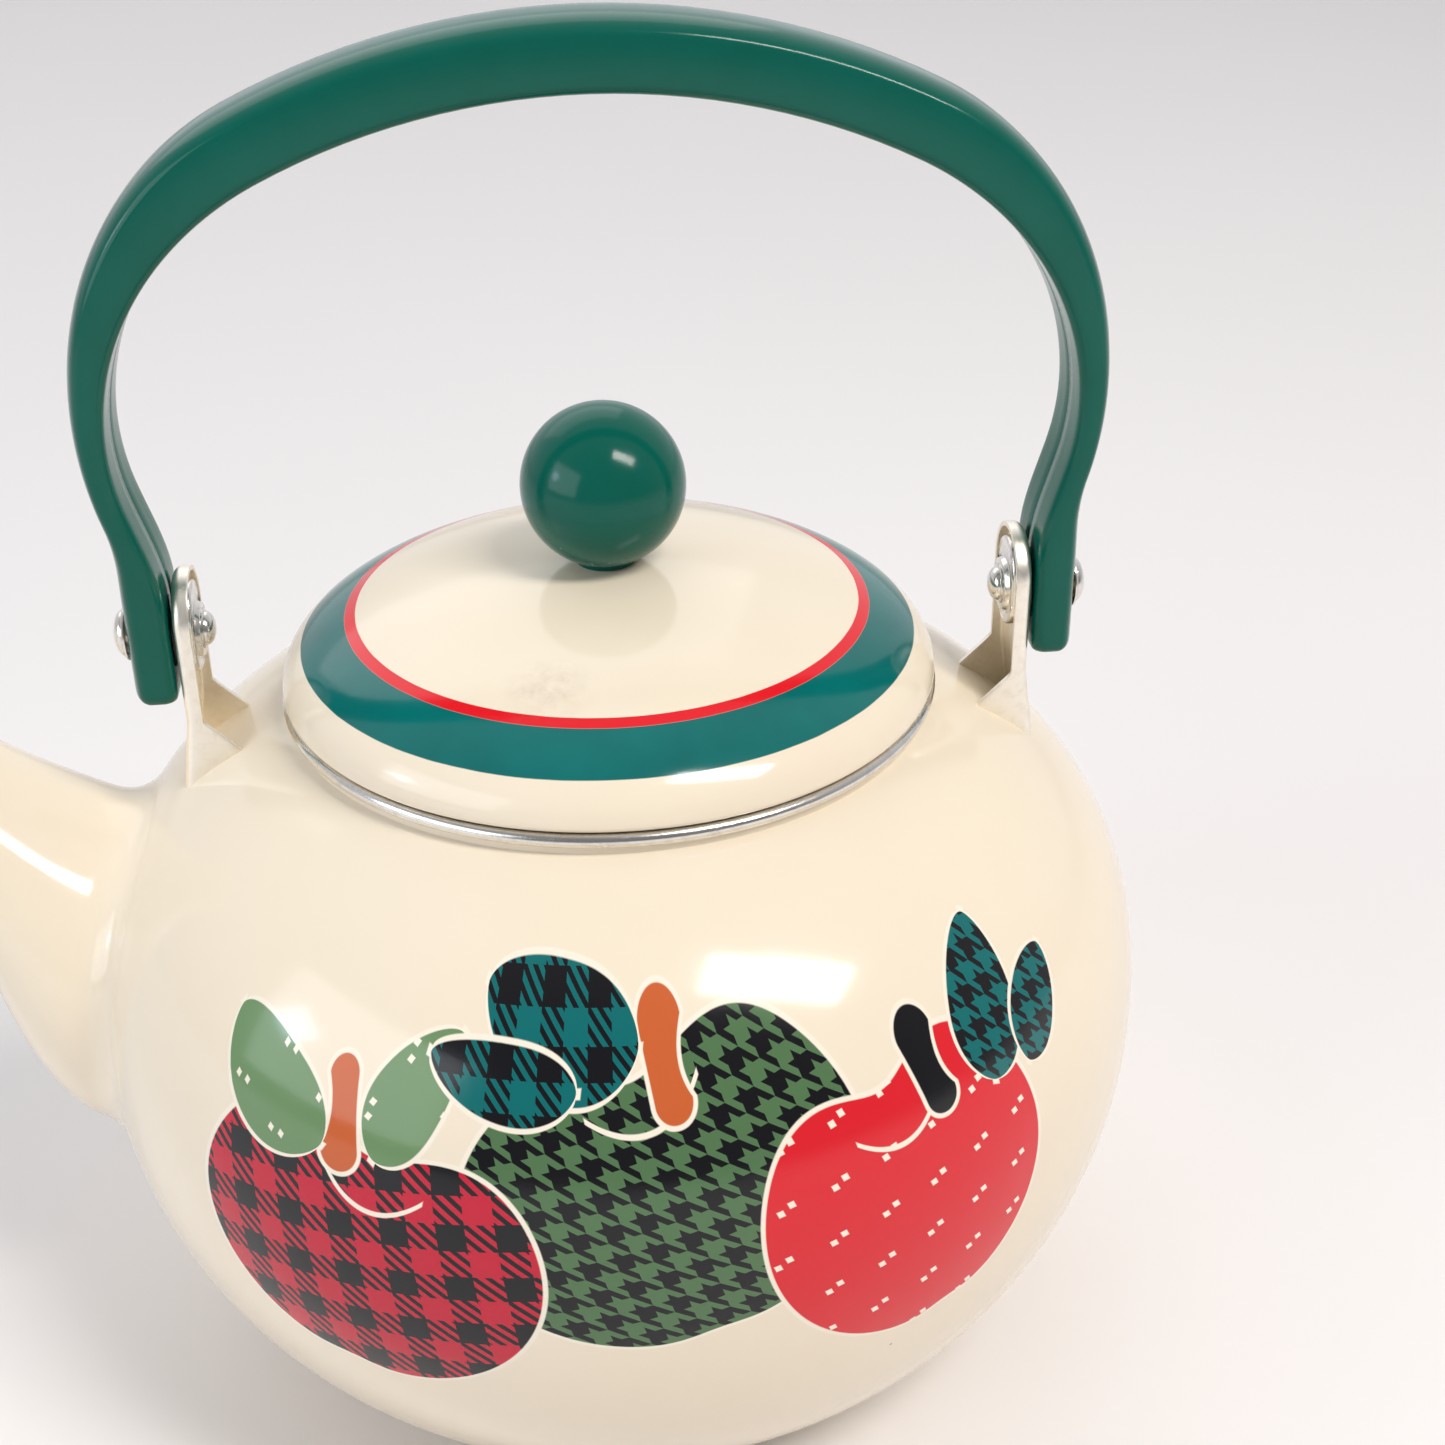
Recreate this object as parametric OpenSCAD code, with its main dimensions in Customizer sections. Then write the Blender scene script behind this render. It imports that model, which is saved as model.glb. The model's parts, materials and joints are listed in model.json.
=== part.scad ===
// Enamelled steel kettle with a curved spout, a swinging bail handle and a lift-off lid.
// Origin: centre of the flat base on its standing surface. +Z is up, the spout points to -X,
// and the handle swings about an axis along X.

/* [Body] */
// Radius of the body at its widest
body_r = 100; // [90:1:120]
// Height of the widest circle above the base
equator_z = 71.8; // [62:0.2:80]
// Semi-height of the curve above the widest circle
upper_h = 71.2; // [60:0.2:86]
// Fullness of the upper curve: 2 is an ellipse, more is squarer
upper_power = 2.33; // [2:0.01:2.8]
// Semi-height of the curve below the widest circle
lower_h = 91.1; // [84:0.1:110]
// Fullness of the lower curve
lower_power = 2; // [1.8:0.01:2.4]
// Thickness of the enamelled sheet of body and spout
wall = 1.4; // [0.8:0.1:2]
// Outer radius of the upright neck at the mouth
mouth_r = 58.5; // [48:0.5:72]
// Width of the sloped edge round the base
base_edge = 3; // [1:0.5:5]

/* [Mouth rim] */
// Radius of the steel bead's section
bead_r = 1.3; // [1:0.1:2.2]
// How far the bead's centre lies outside the neck's outer face
bead_out = 0; // [0:0.1:1]
// Height of the bead's centre above the foot of the neck
bead_rise = 2.65; // [2.4:0.05:3.5]
// Thickness of the steel strip inside the neck
trim_t = 0.6; // [0.4:0.1:1]
// How far the strip reaches down inside the neck
trim_depth = 4; // [2:0.5:8]

/* [Lid] */
// How far the lid's edge overhangs the outside of the neck
lid_overhang = 1; // [0.5:0.1:1.8]
// Rise of the dome above the lid's edge
lid_h = 20; // [14:0.5:30]
// Fullness of the dome
lid_power = 1.93; // [1.7:0.01:2.4]
// Thickness of the lid's sheet
lid_wall = 1.2; // [0.8:0.1:1.8]
// Radius of the rolled hem
hem_r = 1.1; // [0.9:0.1:1.6]
// Gap between the lid's hem and the bead it rests over
seat_gap = 0.3; // [0.2:0.1:0.6]
// Gap between the collar and the steel strip in the mouth
collar_gap = 0.9; // [0.5:0.1:2]
// Thickness of the collar
collar_t = 0.8; // [0.6:0.1:1.4]
// How far the collar reaches below the lid's edge
collar_depth = 14; // [8:0.5:20]

/* [Knob] */
// Radius of the ball
knob_r = 14.7; // [11:0.1:18]
// How far the ball is flattened where it stands on the lid
knob_sink = 0.3; // [0.1:0.1:1]
// Radius of the foot that stands on the lid
knob_foot_r = 5.6; // [4.5:0.1:9]
// Radius of the threaded insert
insert_r = 3.4; // [2.8:0.1:4.2]
// Depth of the threaded insert
insert_depth = 12; // [8:0.5:16]
// Radius of the screw
screw_r = 2; // [1.5:0.1:2.4]
// Length of the screw in the insert
screw_grip = 9; // [6:0.5:11]
// Radius of the screw's head
screw_head_r = 3.8; // [3:0.1:5]
// Height of the screw's head
screw_head_h = 2.2; // [1.5:0.1:3]
// Width of the slot in the screw's head
slot_w = 0.8; // [0.6:0.1:1.2]
// Radius of the washer under the lid
washer_r = 5.5; // [4.6:0.1:8]
// Thickness of the washer under the lid
washer_t = 0.8; // [0.5:0.1:1.5]

/* [Spout] */
// How far the outlet's middle lies outside the body
spout_reach = 43; // [34:1:60]
// Width of the outlet
outlet_d = 22; // [18:0.5:28]
// Height of the outlet's middle above the lid's edge
outlet_rise = 5.5; // [0:0.5:12]
// Tilt of the outlet from the vertical
outlet_tilt = 39; // [25:1:55]
// Height of the spout's root where it meets the body
root_h = 57; // [46:1:64]
// Height of the root's middle above the widest circle
root_rise = 2; // [-4:0.5:8]
// Width of the root as a share of its height
root_squash = 0.91; // [0.8:0.01:1]
// Gap between the opening in the body and the inside of the spout's root
port_margin = 3.5; // [2:0.1:12]
// Extra radius of the rolled lip
lip = 0.8; // [0.3:0.1:1.5]

/* [Bracket] */
// Where the bracket's outer face lies, as a share of the way from the neck to the widest radius
bracket_share = 0.434; // [0.38:0.002:0.5]
// Height of the handle's pivot above the lid's edge
pivot_rise = 10.6; // [8:0.2:16]
// Thickness of the bracket's sheet
sheet = 0.9; // [0.6:0.1:1.4]
// Width of the tongue
tongue_w = 17.6; // [14:0.2:22]
// Height of the tongue's top above the pivot
tongue_top = 11.7; // [11:0.1:18]
// Depth of the folded rim, outer face to edge
rim_depth = 3; // [2:0.1:5]
// Distance from the pivot down to the notch where the gussets widen
notch_drop = 14.6; // [11:0.2:20]
// How far the bracket leans out for each millimetre below the notch
foot_lean = 0.15; // [0:0.01:0.25]
// Gap between the folded rim and the oblong backing plate inside it
plate_gap = 1.6; // [1:0.1:2.4]
// How far the backing plate reaches below the pivot
plate_below = 7.8; // [7:0.1:11]
// Thickness of the backing plate
plate_t = 2.3; // [1.5:0.1:2.8]

/* [Handle] */
// Width of the handle, front to back
handle_w = 18; // [14:0.5:24]
// Thickness of the grip
grip_t = 12; // [9:0.1:14]
// Thickness at the waist above the pivot
waist_t = 5.4; // [4.5:0.1:8]
// Thickness of the ends
end_t = 8; // [7:0.1:10]
// Radius of the long edges of the inner face
edge_r = 2.2; // [1.2:0.1:2.6]
// Depth of the rounding that crowns the outer face
crown_depth = 2.8; // [1.5:0.1:3.2]
// Width of that rounding on each side, as a share of the handle's width
crown_share = 0.42; // [0.15:0.01:0.45]
// Angle of the crown's arc on each side
crown_angle = 26; // [20:1:32]
// Radius of the shoulders' arcs
shoulder_r = 53; // [44:1:62]
// Radius of the reversed arcs above the pivots
waist_r = 62; // [50:1:80]
// Angle of the reversed arcs
waist_angle = 16; // [12:1:20]
// Length of straight handle above the pivot
straight_above = 6.7; // [4:0.1:12]
// Length of straight handle below the pivot
straight_below = 11.1; // [9:0.1:14]

/* [Pivot] */
// Radius of the rivet's shank
rivet_r = 2.5; // [2:0.1:3]
// Radial clearance of the bush on the shank
pivot_clearance = 0.06; // [0.02:0.01:0.1]
// Radial clearance of holes that the shank only passes through
hole_clearance = 0.1; // [0.05:0.05:0.3]
// Wall of the bush in the handle
bush_wall = 0.9; // [0.6:0.1:1.4]
// Radius of the rivet's outer head
outer_head_r = 5; // [4:0.1:6.5]
// Height of the rivet's outer head
outer_head_h = 2.5; // [1.8:0.1:3.5]
// Radius of the rivet's inner head
inner_head_r = 3.7; // [3:0.1:4.4]
// Height of the rivet's inner head
inner_head_h = 2.2; // [1.5:0.1:3]
// Radius of the spacer between bracket and handle
spacer_r = 6.5; // [5:0.1:8]
// Thickness of the spacer
spacer_t = 0.5; // [0.3:0.1:1]
// Gap on each face of the handle's ends
side_gap = 0.3; // [0.2:0.05:0.6]

/* [Hidden] */

$fn = 96;
cream = "#F5E6CB";
green = "#0F6350";
steel = "#C3BFB8";
brass = "#C8A552";
fibre = "#3A3A38";

// Steps along each curve of revolution and rings along the swept parts
curve_steps = 16;
spout_rings = 24;
spout_sides = 32;
crown_rings = 6;
shoulder_rings = 11;
waist_rings = 5;
corner_steps = 5;
// Overlap of a cutter past the face it opens
past = 1;
// Overlap that joins the dome of the lid to its hem
seam = 0.01;
// How far the neck stands up inside the bead, and how thick the steel folded over it is,
// as shares of the bead's radius
neck_share = 0.3;
fold_share = 0.4;

// Heights and radii that the pieces share
shoulder_z = equator_z + rise_at(mouth_r, body_r, upper_h, upper_power);
bead_ring_r = mouth_r + bead_out;
bead_z = shoulder_z + bead_rise;
neck_top = bead_z + neck_share * bead_r;
neck_in_r = mouth_r - wall;
trim_in_r = neck_in_r - trim_t;
lid_r = mouth_r + lid_overhang;
hem_ring_r = lid_r - hem_r;
seat_reach = hem_r + bead_r + seat_gap;
lid_z = bead_z + sqrt(pow(seat_reach, 2) - pow(bead_ring_r - hem_ring_r, 2));
collar_r = trim_in_r - collar_gap;
lid_top = lid_z + lid_h;
knob_z = lid_top + knob_r - knob_sink;
washer_top = lid_z + rise_at(washer_r, lid_r - lid_wall, lid_h - lid_wall, lid_power);

pivot_z = lid_z + pivot_rise;
bracket_x = mouth_r + bracket_share * (body_r - mouth_r);
web_x = bracket_x - sheet;
// The backing plate is raised under the rivet's inner head: a flat ring, then a slope
boss_t = 0.9;
boss_flat = 0.6;
boss_slope = 0.8;
boss_x = web_x - plate_t - boss_t;
handle_in_x = bracket_x + spacer_t + side_gap;
handle_x = handle_in_x + end_t / 2;
handle_out_x = handle_in_x + end_t;
bush_r = rivet_r + pivot_clearance + bush_wall;

// A superellipse's height at radius r, and its radius at height z
function rise_at(r, a, b, p) = b * pow(max(0, 1 - pow(r / a, p)), 1 / p);
function reach_at(z, a, b, p) = a * pow(max(0, 1 - pow(z / b, p)), 1 / p);

// Points of a superellipse from height z0 to z1 above its centre, closer together near its top
function curve(a, b, p, z0, z1) = [
    for (i = [0:curve_steps])
        let (z = z0 + (z1 - z0) * sin(90 * i / curve_steps))
            [reach_at(abs(z), a, b, p), z]
];

function raised(points, z) = [for (q = points) [q.x, q.y + z]];

// ---- Body ----

// Section of the body's outside, or of its inside when the sheet's thickness is taken off
function body_side(skin) = concat(
    raised(curve(body_r - skin, lower_h - skin, lower_power, base_edge - equator_z, 0), equator_z),
    raised(curve(body_r - skin, upper_h - skin, upper_power, 0,
        rise_at(mouth_r - skin, body_r - skin, upper_h - skin, upper_power)), equator_z)
);

module body_solid(skin, top) {
    flat_r = reach_at(equator_z, body_r, lower_h, lower_power) - base_edge - skin / 2;
    rotate_extrude()
        polygon(concat(
            [[0, skin], [flat_r, skin]],
            body_side(skin),
            [[mouth_r - skin, top], [0, top]]
        ));
}

module body_shell() {
    color(cream)
        difference() {
            body_solid(0, neck_top);
            body_solid(wall, neck_top + past);
            translate([0, 0, root_z])
                rotate([0, -90, 0])
                    cylinder(r = port_r, h = body_r + past);
        }
}

// The bead rolled over the neck, with a strip that lines the neck's inside
module mouth_rim() {
    color(steel)
        rotate_extrude()
            difference() {
                union() {
                    translate([bead_ring_r, bead_z])
                        circle(r = bead_r);
                    translate([trim_in_r, bead_z - trim_depth])
                        square([trim_t, trim_depth + (neck_share + fold_share) * bead_r]);
                    translate([trim_in_r, neck_top])
                        square([bead_ring_r - trim_in_r, fold_share * bead_r]);
                }
                translate([neck_in_r, 0])
                    square([wall, neck_top]);
            }
}

// ---- Spout ----

root_z = equator_z + root_rise;
root_top = root_z + root_h / 2;
root_bottom = root_z - root_h / 2;
port_r = root_squash * root_h / 2 - wall - port_margin;
outlet_x = -(body_r + spout_reach);
outlet_z = lid_z + outlet_rise;
outlet_half = outlet_d / 2 * [sin(outlet_tilt), cos(outlet_tilt)];

// How far inside the body's widest radius the outlines start
upper_root_in = 28;
lower_root_in = 20;
// Where the outlines are pulled to: out from the body's widest radius, and up from the root's
// top or bottom, or from the lid's edge
upper_root_pull = [-2, 14.5];
lower_root_pull = [-31, -7.5];
upper_neck_pull = [-19, -14];
lower_neck_pull = [-4.5, -36];
// Share of the spout's length at which the lip begins to flare
lip_start = 0.94;

// Control points of the spout's upper and lower outlines, root first
spout_upper = [
    [upper_root_in - body_r, root_top],
    [-body_r, root_top] + upper_root_pull,
    [-body_r, lid_z] + upper_neck_pull,
    [outlet_x, outlet_z] + outlet_half
];
spout_lower = [
    [lower_root_in - body_r, root_bottom],
    [-body_r, root_bottom] + lower_root_pull,
    [-body_r, lid_z] + lower_neck_pull,
    [outlet_x, outlet_z] - outlet_half
];

function bezier(p, t) =
    pow(1 - t, 3) * p[0] + 3 * pow(1 - t, 2) * t * p[1] + 3 * (1 - t) * t * t * p[2] + pow(t, 3) * p[3];

// One elliptical ring of the spout, a skin's depth inside its outer surface
function spout_ring(t, skin) = let (
    upper = bezier(spout_upper, t),
    lower = bezier(spout_lower, t),
    centre = (upper + lower) / 2,
    half = (upper - lower) / 2,
    size = norm(half),
    rolled = lip * pow(max(0, (t - lip_start) / (1 - lip_start)), 2),
    high = half * (1 + (rolled - skin) / size),
    wide = size * (root_squash + (1 - root_squash) * t) + rolled - skin
) [
    for (i = [0:spout_sides - 1])
        let (a = 360 * i / spout_sides)
            [centre.x + high.x * cos(a), wide * sin(a), centre.y + high.y * cos(a)]
];

// A closed tube wall through outer rings, then back through inner rings
module tube_wall(rings) {
    n = len(rings[0]);
    m = len(rings);
    polyhedron(
        points = [for (ring = rings) each ring],
        faces = [
            for (j = [0:m - 1], i = [0:n - 1])
                let (k = (j + 1) % m, h = (i + 1) % n)
                    each [[j * n + i, k * n + h, j * n + h], [j * n + i, k * n + i, k * n + h]]
        ],
        convexity = 8
    );
}

module spout() {
    steps = [for (j = [0:spout_rings]) j / spout_rings];
    outer_rings = [for (t = steps) spout_ring(t, 0)];
    inner_rings = [for (j = [spout_rings:-1:0]) spout_ring(steps[j], wall)];
    color(cream)
        difference() {
            tube_wall(concat(outer_rings, inner_rings));
            body_solid(0, neck_top);
        }
}

// ---- Brackets ----

// Copies for the right, and mirrored copies for the spout's side
module side(right) {
    if (right)
        children();
    else
        mirror([1, 0, 0])
            children();
}

// Outline of the tongue in the plane of the handle's ends: x is across, y is up
module tongue_outline(inset, bottom) {
    r = tongue_w / 2 - inset;
    peak = pivot_z + tongue_top - tongue_w / 2;
    translate([0, peak])
        circle(r = r);
    translate([-r, bottom])
        square([2 * r, peak - bottom]);
}

// Extrudes an outline drawn across and up, from x0 towards +X
module upright(x0, depth) {
    translate([x0, 0, 0])
        rotate([90, 0, 90])
            linear_extrude(depth)
                children();
}

// Extrudes an outline drawn out and up, from y0 towards +Y
module sideways(y0, width) {
    translate([0, y0 + width, 0])
        rotate([90, 0, 0])
            linear_extrude(width)
                children();
}

// The tongue stands upright; below the notch its web and gussets lean out, and run into the body
module bracket(right) {
    notch_z = pivot_z - notch_drop;
    spread = bracket_x - mouth_r;
    foot_z = notch_z - 2 * spread;
    lean = foot_lean * (notch_z - foot_z);
    color(steel)
        side(right)
            difference() {
                union() {
                    upright(web_x, sheet)
                        tongue_outline(0, notch_z);
                    upright(bracket_x - rim_depth, rim_depth)
                        difference() {
                            tongue_outline(0, notch_z);
                            tongue_outline(sheet, notch_z - past);
                        }
                    sideways(-tongue_w / 2, tongue_w)
                        polygon([
                            [web_x, notch_z],
                            [bracket_x, notch_z],
                            [bracket_x + lean, foot_z],
                            [web_x + lean, foot_z]
                        ]);
                    for (y = [-tongue_w / 2, tongue_w / 2 - sheet])
                        sideways(y, sheet)
                            polygon([
                                [bracket_x, notch_z],
                                [bracket_x - rim_depth, notch_z],
                                [bracket_x - rim_depth - spread, notch_z - spread],
                                [bracket_x + lean, foot_z]
                            ]);
                }
                body_solid(0, neck_top);
                pivot_hole(rivet_r + hole_clearance);
            }
}

// A round hole along the pivot, through everything on the +X side
module pivot_hole(r) {
    translate([0, 0, pivot_z])
        rotate([0, 90, 0])
            cylinder(r = r, h = body_r + past);
}

// An oblong plate inside the folded rim, raised in the middle under the rivet's inner head
module backing_plate(right) {
    half = tongue_w / 2 - sheet - plate_gap;
    high = pivot_z + tongue_top - tongue_w / 2;
    low = pivot_z - plate_below + half;
    boss_r = inner_head_r + boss_flat;
    color(steel)
        side(right)
            difference() {
                union() {
                    upright(web_x - plate_t, plate_t)
                        union() {
                            for (z = [low, high])
                                translate([0, z])
                                    circle(r = half);
                            translate([-half, low])
                                square([2 * half, high - low]);
                        }
                    translate([boss_x, 0, pivot_z])
                        rotate([0, 90, 0])
                            cylinder(r1 = boss_r, r2 = boss_r + boss_slope, h = boss_t);
                }
                pivot_hole(rivet_r + hole_clearance);
            }
}

// ---- Handle and its pivots ----

// A dome of radius r and height h on the plane z = 0
module dome(r, h) {
    ball = (r * r + h * h) / (2 * h);
    intersection() {
        translate([0, 0, h - ball])
            sphere(r = ball);
        cylinder(r = r, h = h);
    }
}

module rivet(right) {
    outer_face = handle_out_x + side_gap;
    color(steel)
        side(right)
            translate([0, 0, pivot_z])
                rotate([0, 90, 0])
                    union() {
                        translate([0, 0, boss_x])
                            cylinder(r = rivet_r, h = outer_face - boss_x);
                        translate([0, 0, outer_face])
                            dome(outer_head_r, outer_head_h);
                        translate([0, 0, boss_x])
                            mirror([0, 0, 1])
                                dome(inner_head_r, inner_head_h);
                    }
}

module ring_on_pivot(x0, r_in, r_out, t, right) {
    side(right)
        translate([x0, 0, pivot_z])
            rotate([0, 90, 0])
                difference() {
                    cylinder(r = r_out, h = t);
                    translate([0, 0, -past])
                        cylinder(r = r_in, h = t + 2 * past);
                }
}

module spacer(right) {
    color(fibre)
        ring_on_pivot(bracket_x, rivet_r + hole_clearance, spacer_r, spacer_t, right);
}

module pivot_bush(right) {
    color(brass)
        ring_on_pivot(handle_in_x, rivet_r + pivot_clearance, bush_r, end_t, right);
}

// The handle's centreline: crown arc, shoulder arc, reversed waist arc, then straight down.
// The crown's radius follows from where the ends have to come.
fall = 90 + waist_angle;
tuck = (shoulder_r + waist_r) * (1 - cos(waist_angle));
crown_r = (handle_x - shoulder_r * (1 - sin(crown_angle)) + tuck) / sin(crown_angle);
crown_drop = crown_r * (1 - cos(crown_angle));
shoulder_drop = shoulder_r * (cos(crown_angle) - cos(fall));
waist_drop = waist_r * sin(waist_angle);
handle_top = pivot_z + straight_above + waist_drop + shoulder_drop + crown_drop;

// How far before the shoulder's end, in degrees, the grip reaches the waist's thickness
taper_spare = 4;
// The ends' last corner is rounded off, a little less across than along
end_round = 2.5;
end_inset = 0.8;
// Largest rounding of the long edges, as a share of the handle's thickness
edge_share = 0.42;

// A station is [x, z, direction below horizontal, thickness, width]
function ease(a, b, t) = a + (b - a) * (1 - cos(180 * min(1, max(0, t)))) / 2;

function crown_station(a) =
    [crown_r * sin(a), handle_top - crown_r * (1 - cos(a)), a, grip_t, handle_w];

function shoulder_station(a) = [
    crown_r * sin(crown_angle) + shoulder_r * (sin(a) - sin(crown_angle)),
    handle_top - crown_drop - shoulder_r * (cos(crown_angle) - cos(a)),
    a,
    ease(grip_t, waist_t, (a - crown_angle) / (fall - taper_spare - crown_angle)),
    handle_w
];

function waist_station(a) = [
    handle_x + waist_r * (1 - cos(a)),
    pivot_z + straight_above + waist_r * sin(a),
    90 + a,
    ease(end_t, waist_t, a / waist_angle),
    handle_w
];

// The end's corners are rounded off over the last few millimetres
function end_station(drop, inset) =
    [handle_x, pivot_z - straight_below + drop, 90, end_t - inset, handle_w - 2 * inset];

half_handle = concat(
    [for (i = [1:crown_rings]) crown_station(crown_angle * i / crown_rings)],
    [for (i = [1:shoulder_rings])
        shoulder_station(crown_angle + (fall - crown_angle) * i / shoulder_rings)],
    [for (i = [waist_rings - 1:-1:0]) waist_station(waist_angle * i / waist_rings)],
    [for (a = [0, 30, 60, 90])
        end_station(end_round * (1 - sin(a)), end_inset * end_round * (1 - cos(a)))]
);

// A quarter of an ellipse with semi-axes a and b
function corner(x, y, a, b, start) = [
    for (i = [0:corner_steps])
        let (turn = start + 90 * i / corner_steps)
            [x + a * cos(turn), y + b * sin(turn)]
];

// The grip's section: x runs outwards through the thickness, y runs front to back.
// Wide elliptical corners crown the outer face.
function section(t, w) = let (
    r = min(edge_r, edge_share * t),
    depth = min(crown_depth, edge_share * t),
    spread = crown_share * w
) concat(
    corner(t / 2 - depth, w / 2 - spread, depth, spread, 0),
    corner(r - t / 2, w / 2 - r, r, r, 90),
    corner(r - t / 2, r - w / 2, r, r, 180),
    corner(t / 2 - depth, spread - w / 2, depth, spread, 270)
);

function handle_ring(station, s) = [
    for (q = section(station[3], station[4]))
        [s * (station[0] + q.x * sin(station[2])), q.y, station[1] + q.x * cos(station[2])]
];

module handle_bar() {
    stations = concat(
        [for (i = [len(half_handle) - 1:-1:0]) [half_handle[i], -1]],
        [[crown_station(0), 1]],
        [for (station = half_handle) [station, 1]]
    );
    rings = [for (pair = stations) handle_ring(pair[0], pair[1])];
    n = len(rings[0]);
    m = len(rings);
    polyhedron(
        points = [for (ring = rings) each ring],
        faces = concat(
            [for (j = [0:m - 2], i = [0:n - 1])
                let (h = (i + 1) % n)
                    each [
                        [j * n + i, j * n + h, (j + 1) * n + h],
                        [j * n + i, (j + 1) * n + h, (j + 1) * n + i]
                    ]],
            [[for (i = [n - 1:-1:0]) i]],
            [[for (i = [0:n - 1]) (m - 1) * n + i]]
        ),
        convexity = 6
    );
}

module handle() {
    color(green)
        difference() {
            handle_bar();
            pivot_hole(bush_r);
            mirror([1, 0, 0])
                pivot_hole(bush_r);
        }
}

// ---- Lid and knob ----

module lid_solid(skin, bottom) {
    a = lid_r - skin;
    rotate_extrude()
        polygon(concat(
            [[0, bottom], [a, bottom]],
            raised(curve(a, lid_h - skin, lid_power, 0, lid_h - skin), lid_z)
        ));
}

module lid_shell() {
    color(cream)
        difference() {
            union() {
                lid_solid(0, lid_z - seam);
                rotate_extrude()
                    translate([hem_ring_r, lid_z])
                        circle(r = hem_r);
            }
            lid_solid(lid_wall, lid_z - past);
            cylinder(r = screw_r + hole_clearance, h = lid_top + past);
        }
}

module lid_collar() {
    color(cream)
        intersection() {
            difference() {
                translate([0, 0, lid_z - collar_depth])
                    cylinder(r = collar_r, h = lid_h + collar_depth);
                cylinder(r = collar_r - collar_t, h = lid_top);
            }
            lid_solid(lid_wall, lid_z - collar_depth - past);
        }
}

module knob() {
    color(green)
        difference() {
            union() {
                translate([0, 0, knob_z])
                    sphere(r = knob_r);
                translate([0, 0, lid_top - past])
                    cylinder(r = knob_foot_r, h = knob_r);
            }
            lid_solid(0, lid_z);
            cylinder(r = insert_r, h = lid_top + insert_depth);
        }
}

module knob_insert() {
    color(brass)
        translate([0, 0, lid_top])
            difference() {
                cylinder(r = insert_r, h = insert_depth);
                translate([0, 0, -past])
                    cylinder(r = screw_r, h = screw_grip + 2 * past);
            }
}

module knob_washer() {
    color(steel)
        translate([0, 0, washer_top - washer_t])
            difference() {
                cylinder(r = washer_r, h = washer_t);
                translate([0, 0, -past])
                    cylinder(r = screw_r + hole_clearance, h = washer_t + 2 * past);
            }
}

module knob_screw() {
    head_z = washer_top - washer_t;
    color(steel)
        union() {
            translate([0, 0, head_z])
                cylinder(r = screw_r, h = lid_top + screw_grip - head_z);
            translate([0, 0, head_z])
                mirror([0, 0, 1])
                    difference() {
                        dome(screw_head_r, screw_head_h);
                        translate([-screw_head_r, -slot_w / 2, screw_head_h / 2])
                            cube([2 * screw_head_r, slot_w, screw_head_h]);
                    }
        }
}

body_shell();
mouth_rim();
spout();
bracket(false);  // bracket_left
bracket(true);  // bracket_right
backing_plate(false);  // backing_plate_left
backing_plate(true);  // backing_plate_right
rivet(false);  // rivet_left
rivet(true);  // rivet_right
spacer(false);  // spacer_left
spacer(true);  // spacer_right
handle();
pivot_bush(false);  // pivot_bush_left
pivot_bush(true);  // pivot_bush_right
lid_shell();
lid_collar();
knob();
knob_insert();
knob_washer();
knob_screw();
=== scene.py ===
import json
import math

import bmesh
import bpy
from mathutils import Matrix, Vector


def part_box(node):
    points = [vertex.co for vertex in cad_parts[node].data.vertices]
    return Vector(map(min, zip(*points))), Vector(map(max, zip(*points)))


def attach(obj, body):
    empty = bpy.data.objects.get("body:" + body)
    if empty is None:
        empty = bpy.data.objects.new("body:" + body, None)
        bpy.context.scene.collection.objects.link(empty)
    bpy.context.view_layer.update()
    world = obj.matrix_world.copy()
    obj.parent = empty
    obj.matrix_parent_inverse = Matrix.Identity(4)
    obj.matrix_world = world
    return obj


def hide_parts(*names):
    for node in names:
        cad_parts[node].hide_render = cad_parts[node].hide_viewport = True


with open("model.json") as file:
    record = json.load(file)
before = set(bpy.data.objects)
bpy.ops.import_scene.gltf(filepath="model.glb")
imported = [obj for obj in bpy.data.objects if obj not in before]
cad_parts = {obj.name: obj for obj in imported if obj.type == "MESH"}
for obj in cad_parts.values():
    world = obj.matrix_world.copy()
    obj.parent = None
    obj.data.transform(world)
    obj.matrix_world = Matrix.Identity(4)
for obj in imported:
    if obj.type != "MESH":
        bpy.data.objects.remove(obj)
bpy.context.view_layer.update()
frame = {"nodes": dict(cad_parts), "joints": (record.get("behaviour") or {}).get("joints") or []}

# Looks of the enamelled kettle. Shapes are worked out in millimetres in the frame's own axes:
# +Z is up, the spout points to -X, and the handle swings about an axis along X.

MM = 0.001


def box_mm(node):
    """The lowest and highest corners of a CAD node in millimetres."""
    low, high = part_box(node)
    return low / MM, high / MM


# ---- Sizes, from the frame where a node gives them ----

body_high = box_mm("body_shell")[1]
rim_high = box_mm("mouth_rim")[1]
lid_low, lid_high = box_mm("lid_shell")
knob_high = box_mm("knob")[1]
insert_high = box_mm("knob_insert")[1]
bracket_low, bracket_high = box_mm("bracket_right")
plate_low, plate_high = box_mm("backing_plate_right")
handle_low, handle_high = box_mm("handle")
rivet_low, rivet_high = box_mm("rivet_right")
bush_low, bush_high = box_mm("pivot_bush_right")

# The looks keep this far inside the CAD box, and off the faces that they rest on
SLACK = 0.02
# Faces round the body, the bead and the lid
ROUND = 216

# Body: two superellipse curves that meet at its widest circle, given as semi-axis and power
BODY_R = body_high.x - SLACK
EQUATOR_Z = 71.8
UPPER_H, UPPER_POWER = 71.2, 2.33
LOWER_H, LOWER_POWER = 91.1, 2.0
WALL = 1.4
# The rounded edge of the base, how far it bulges, and the dish inside it
BASE_EDGE = 3.0
EDGE_BULGE = 0.2
DISH = 0.7

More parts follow.
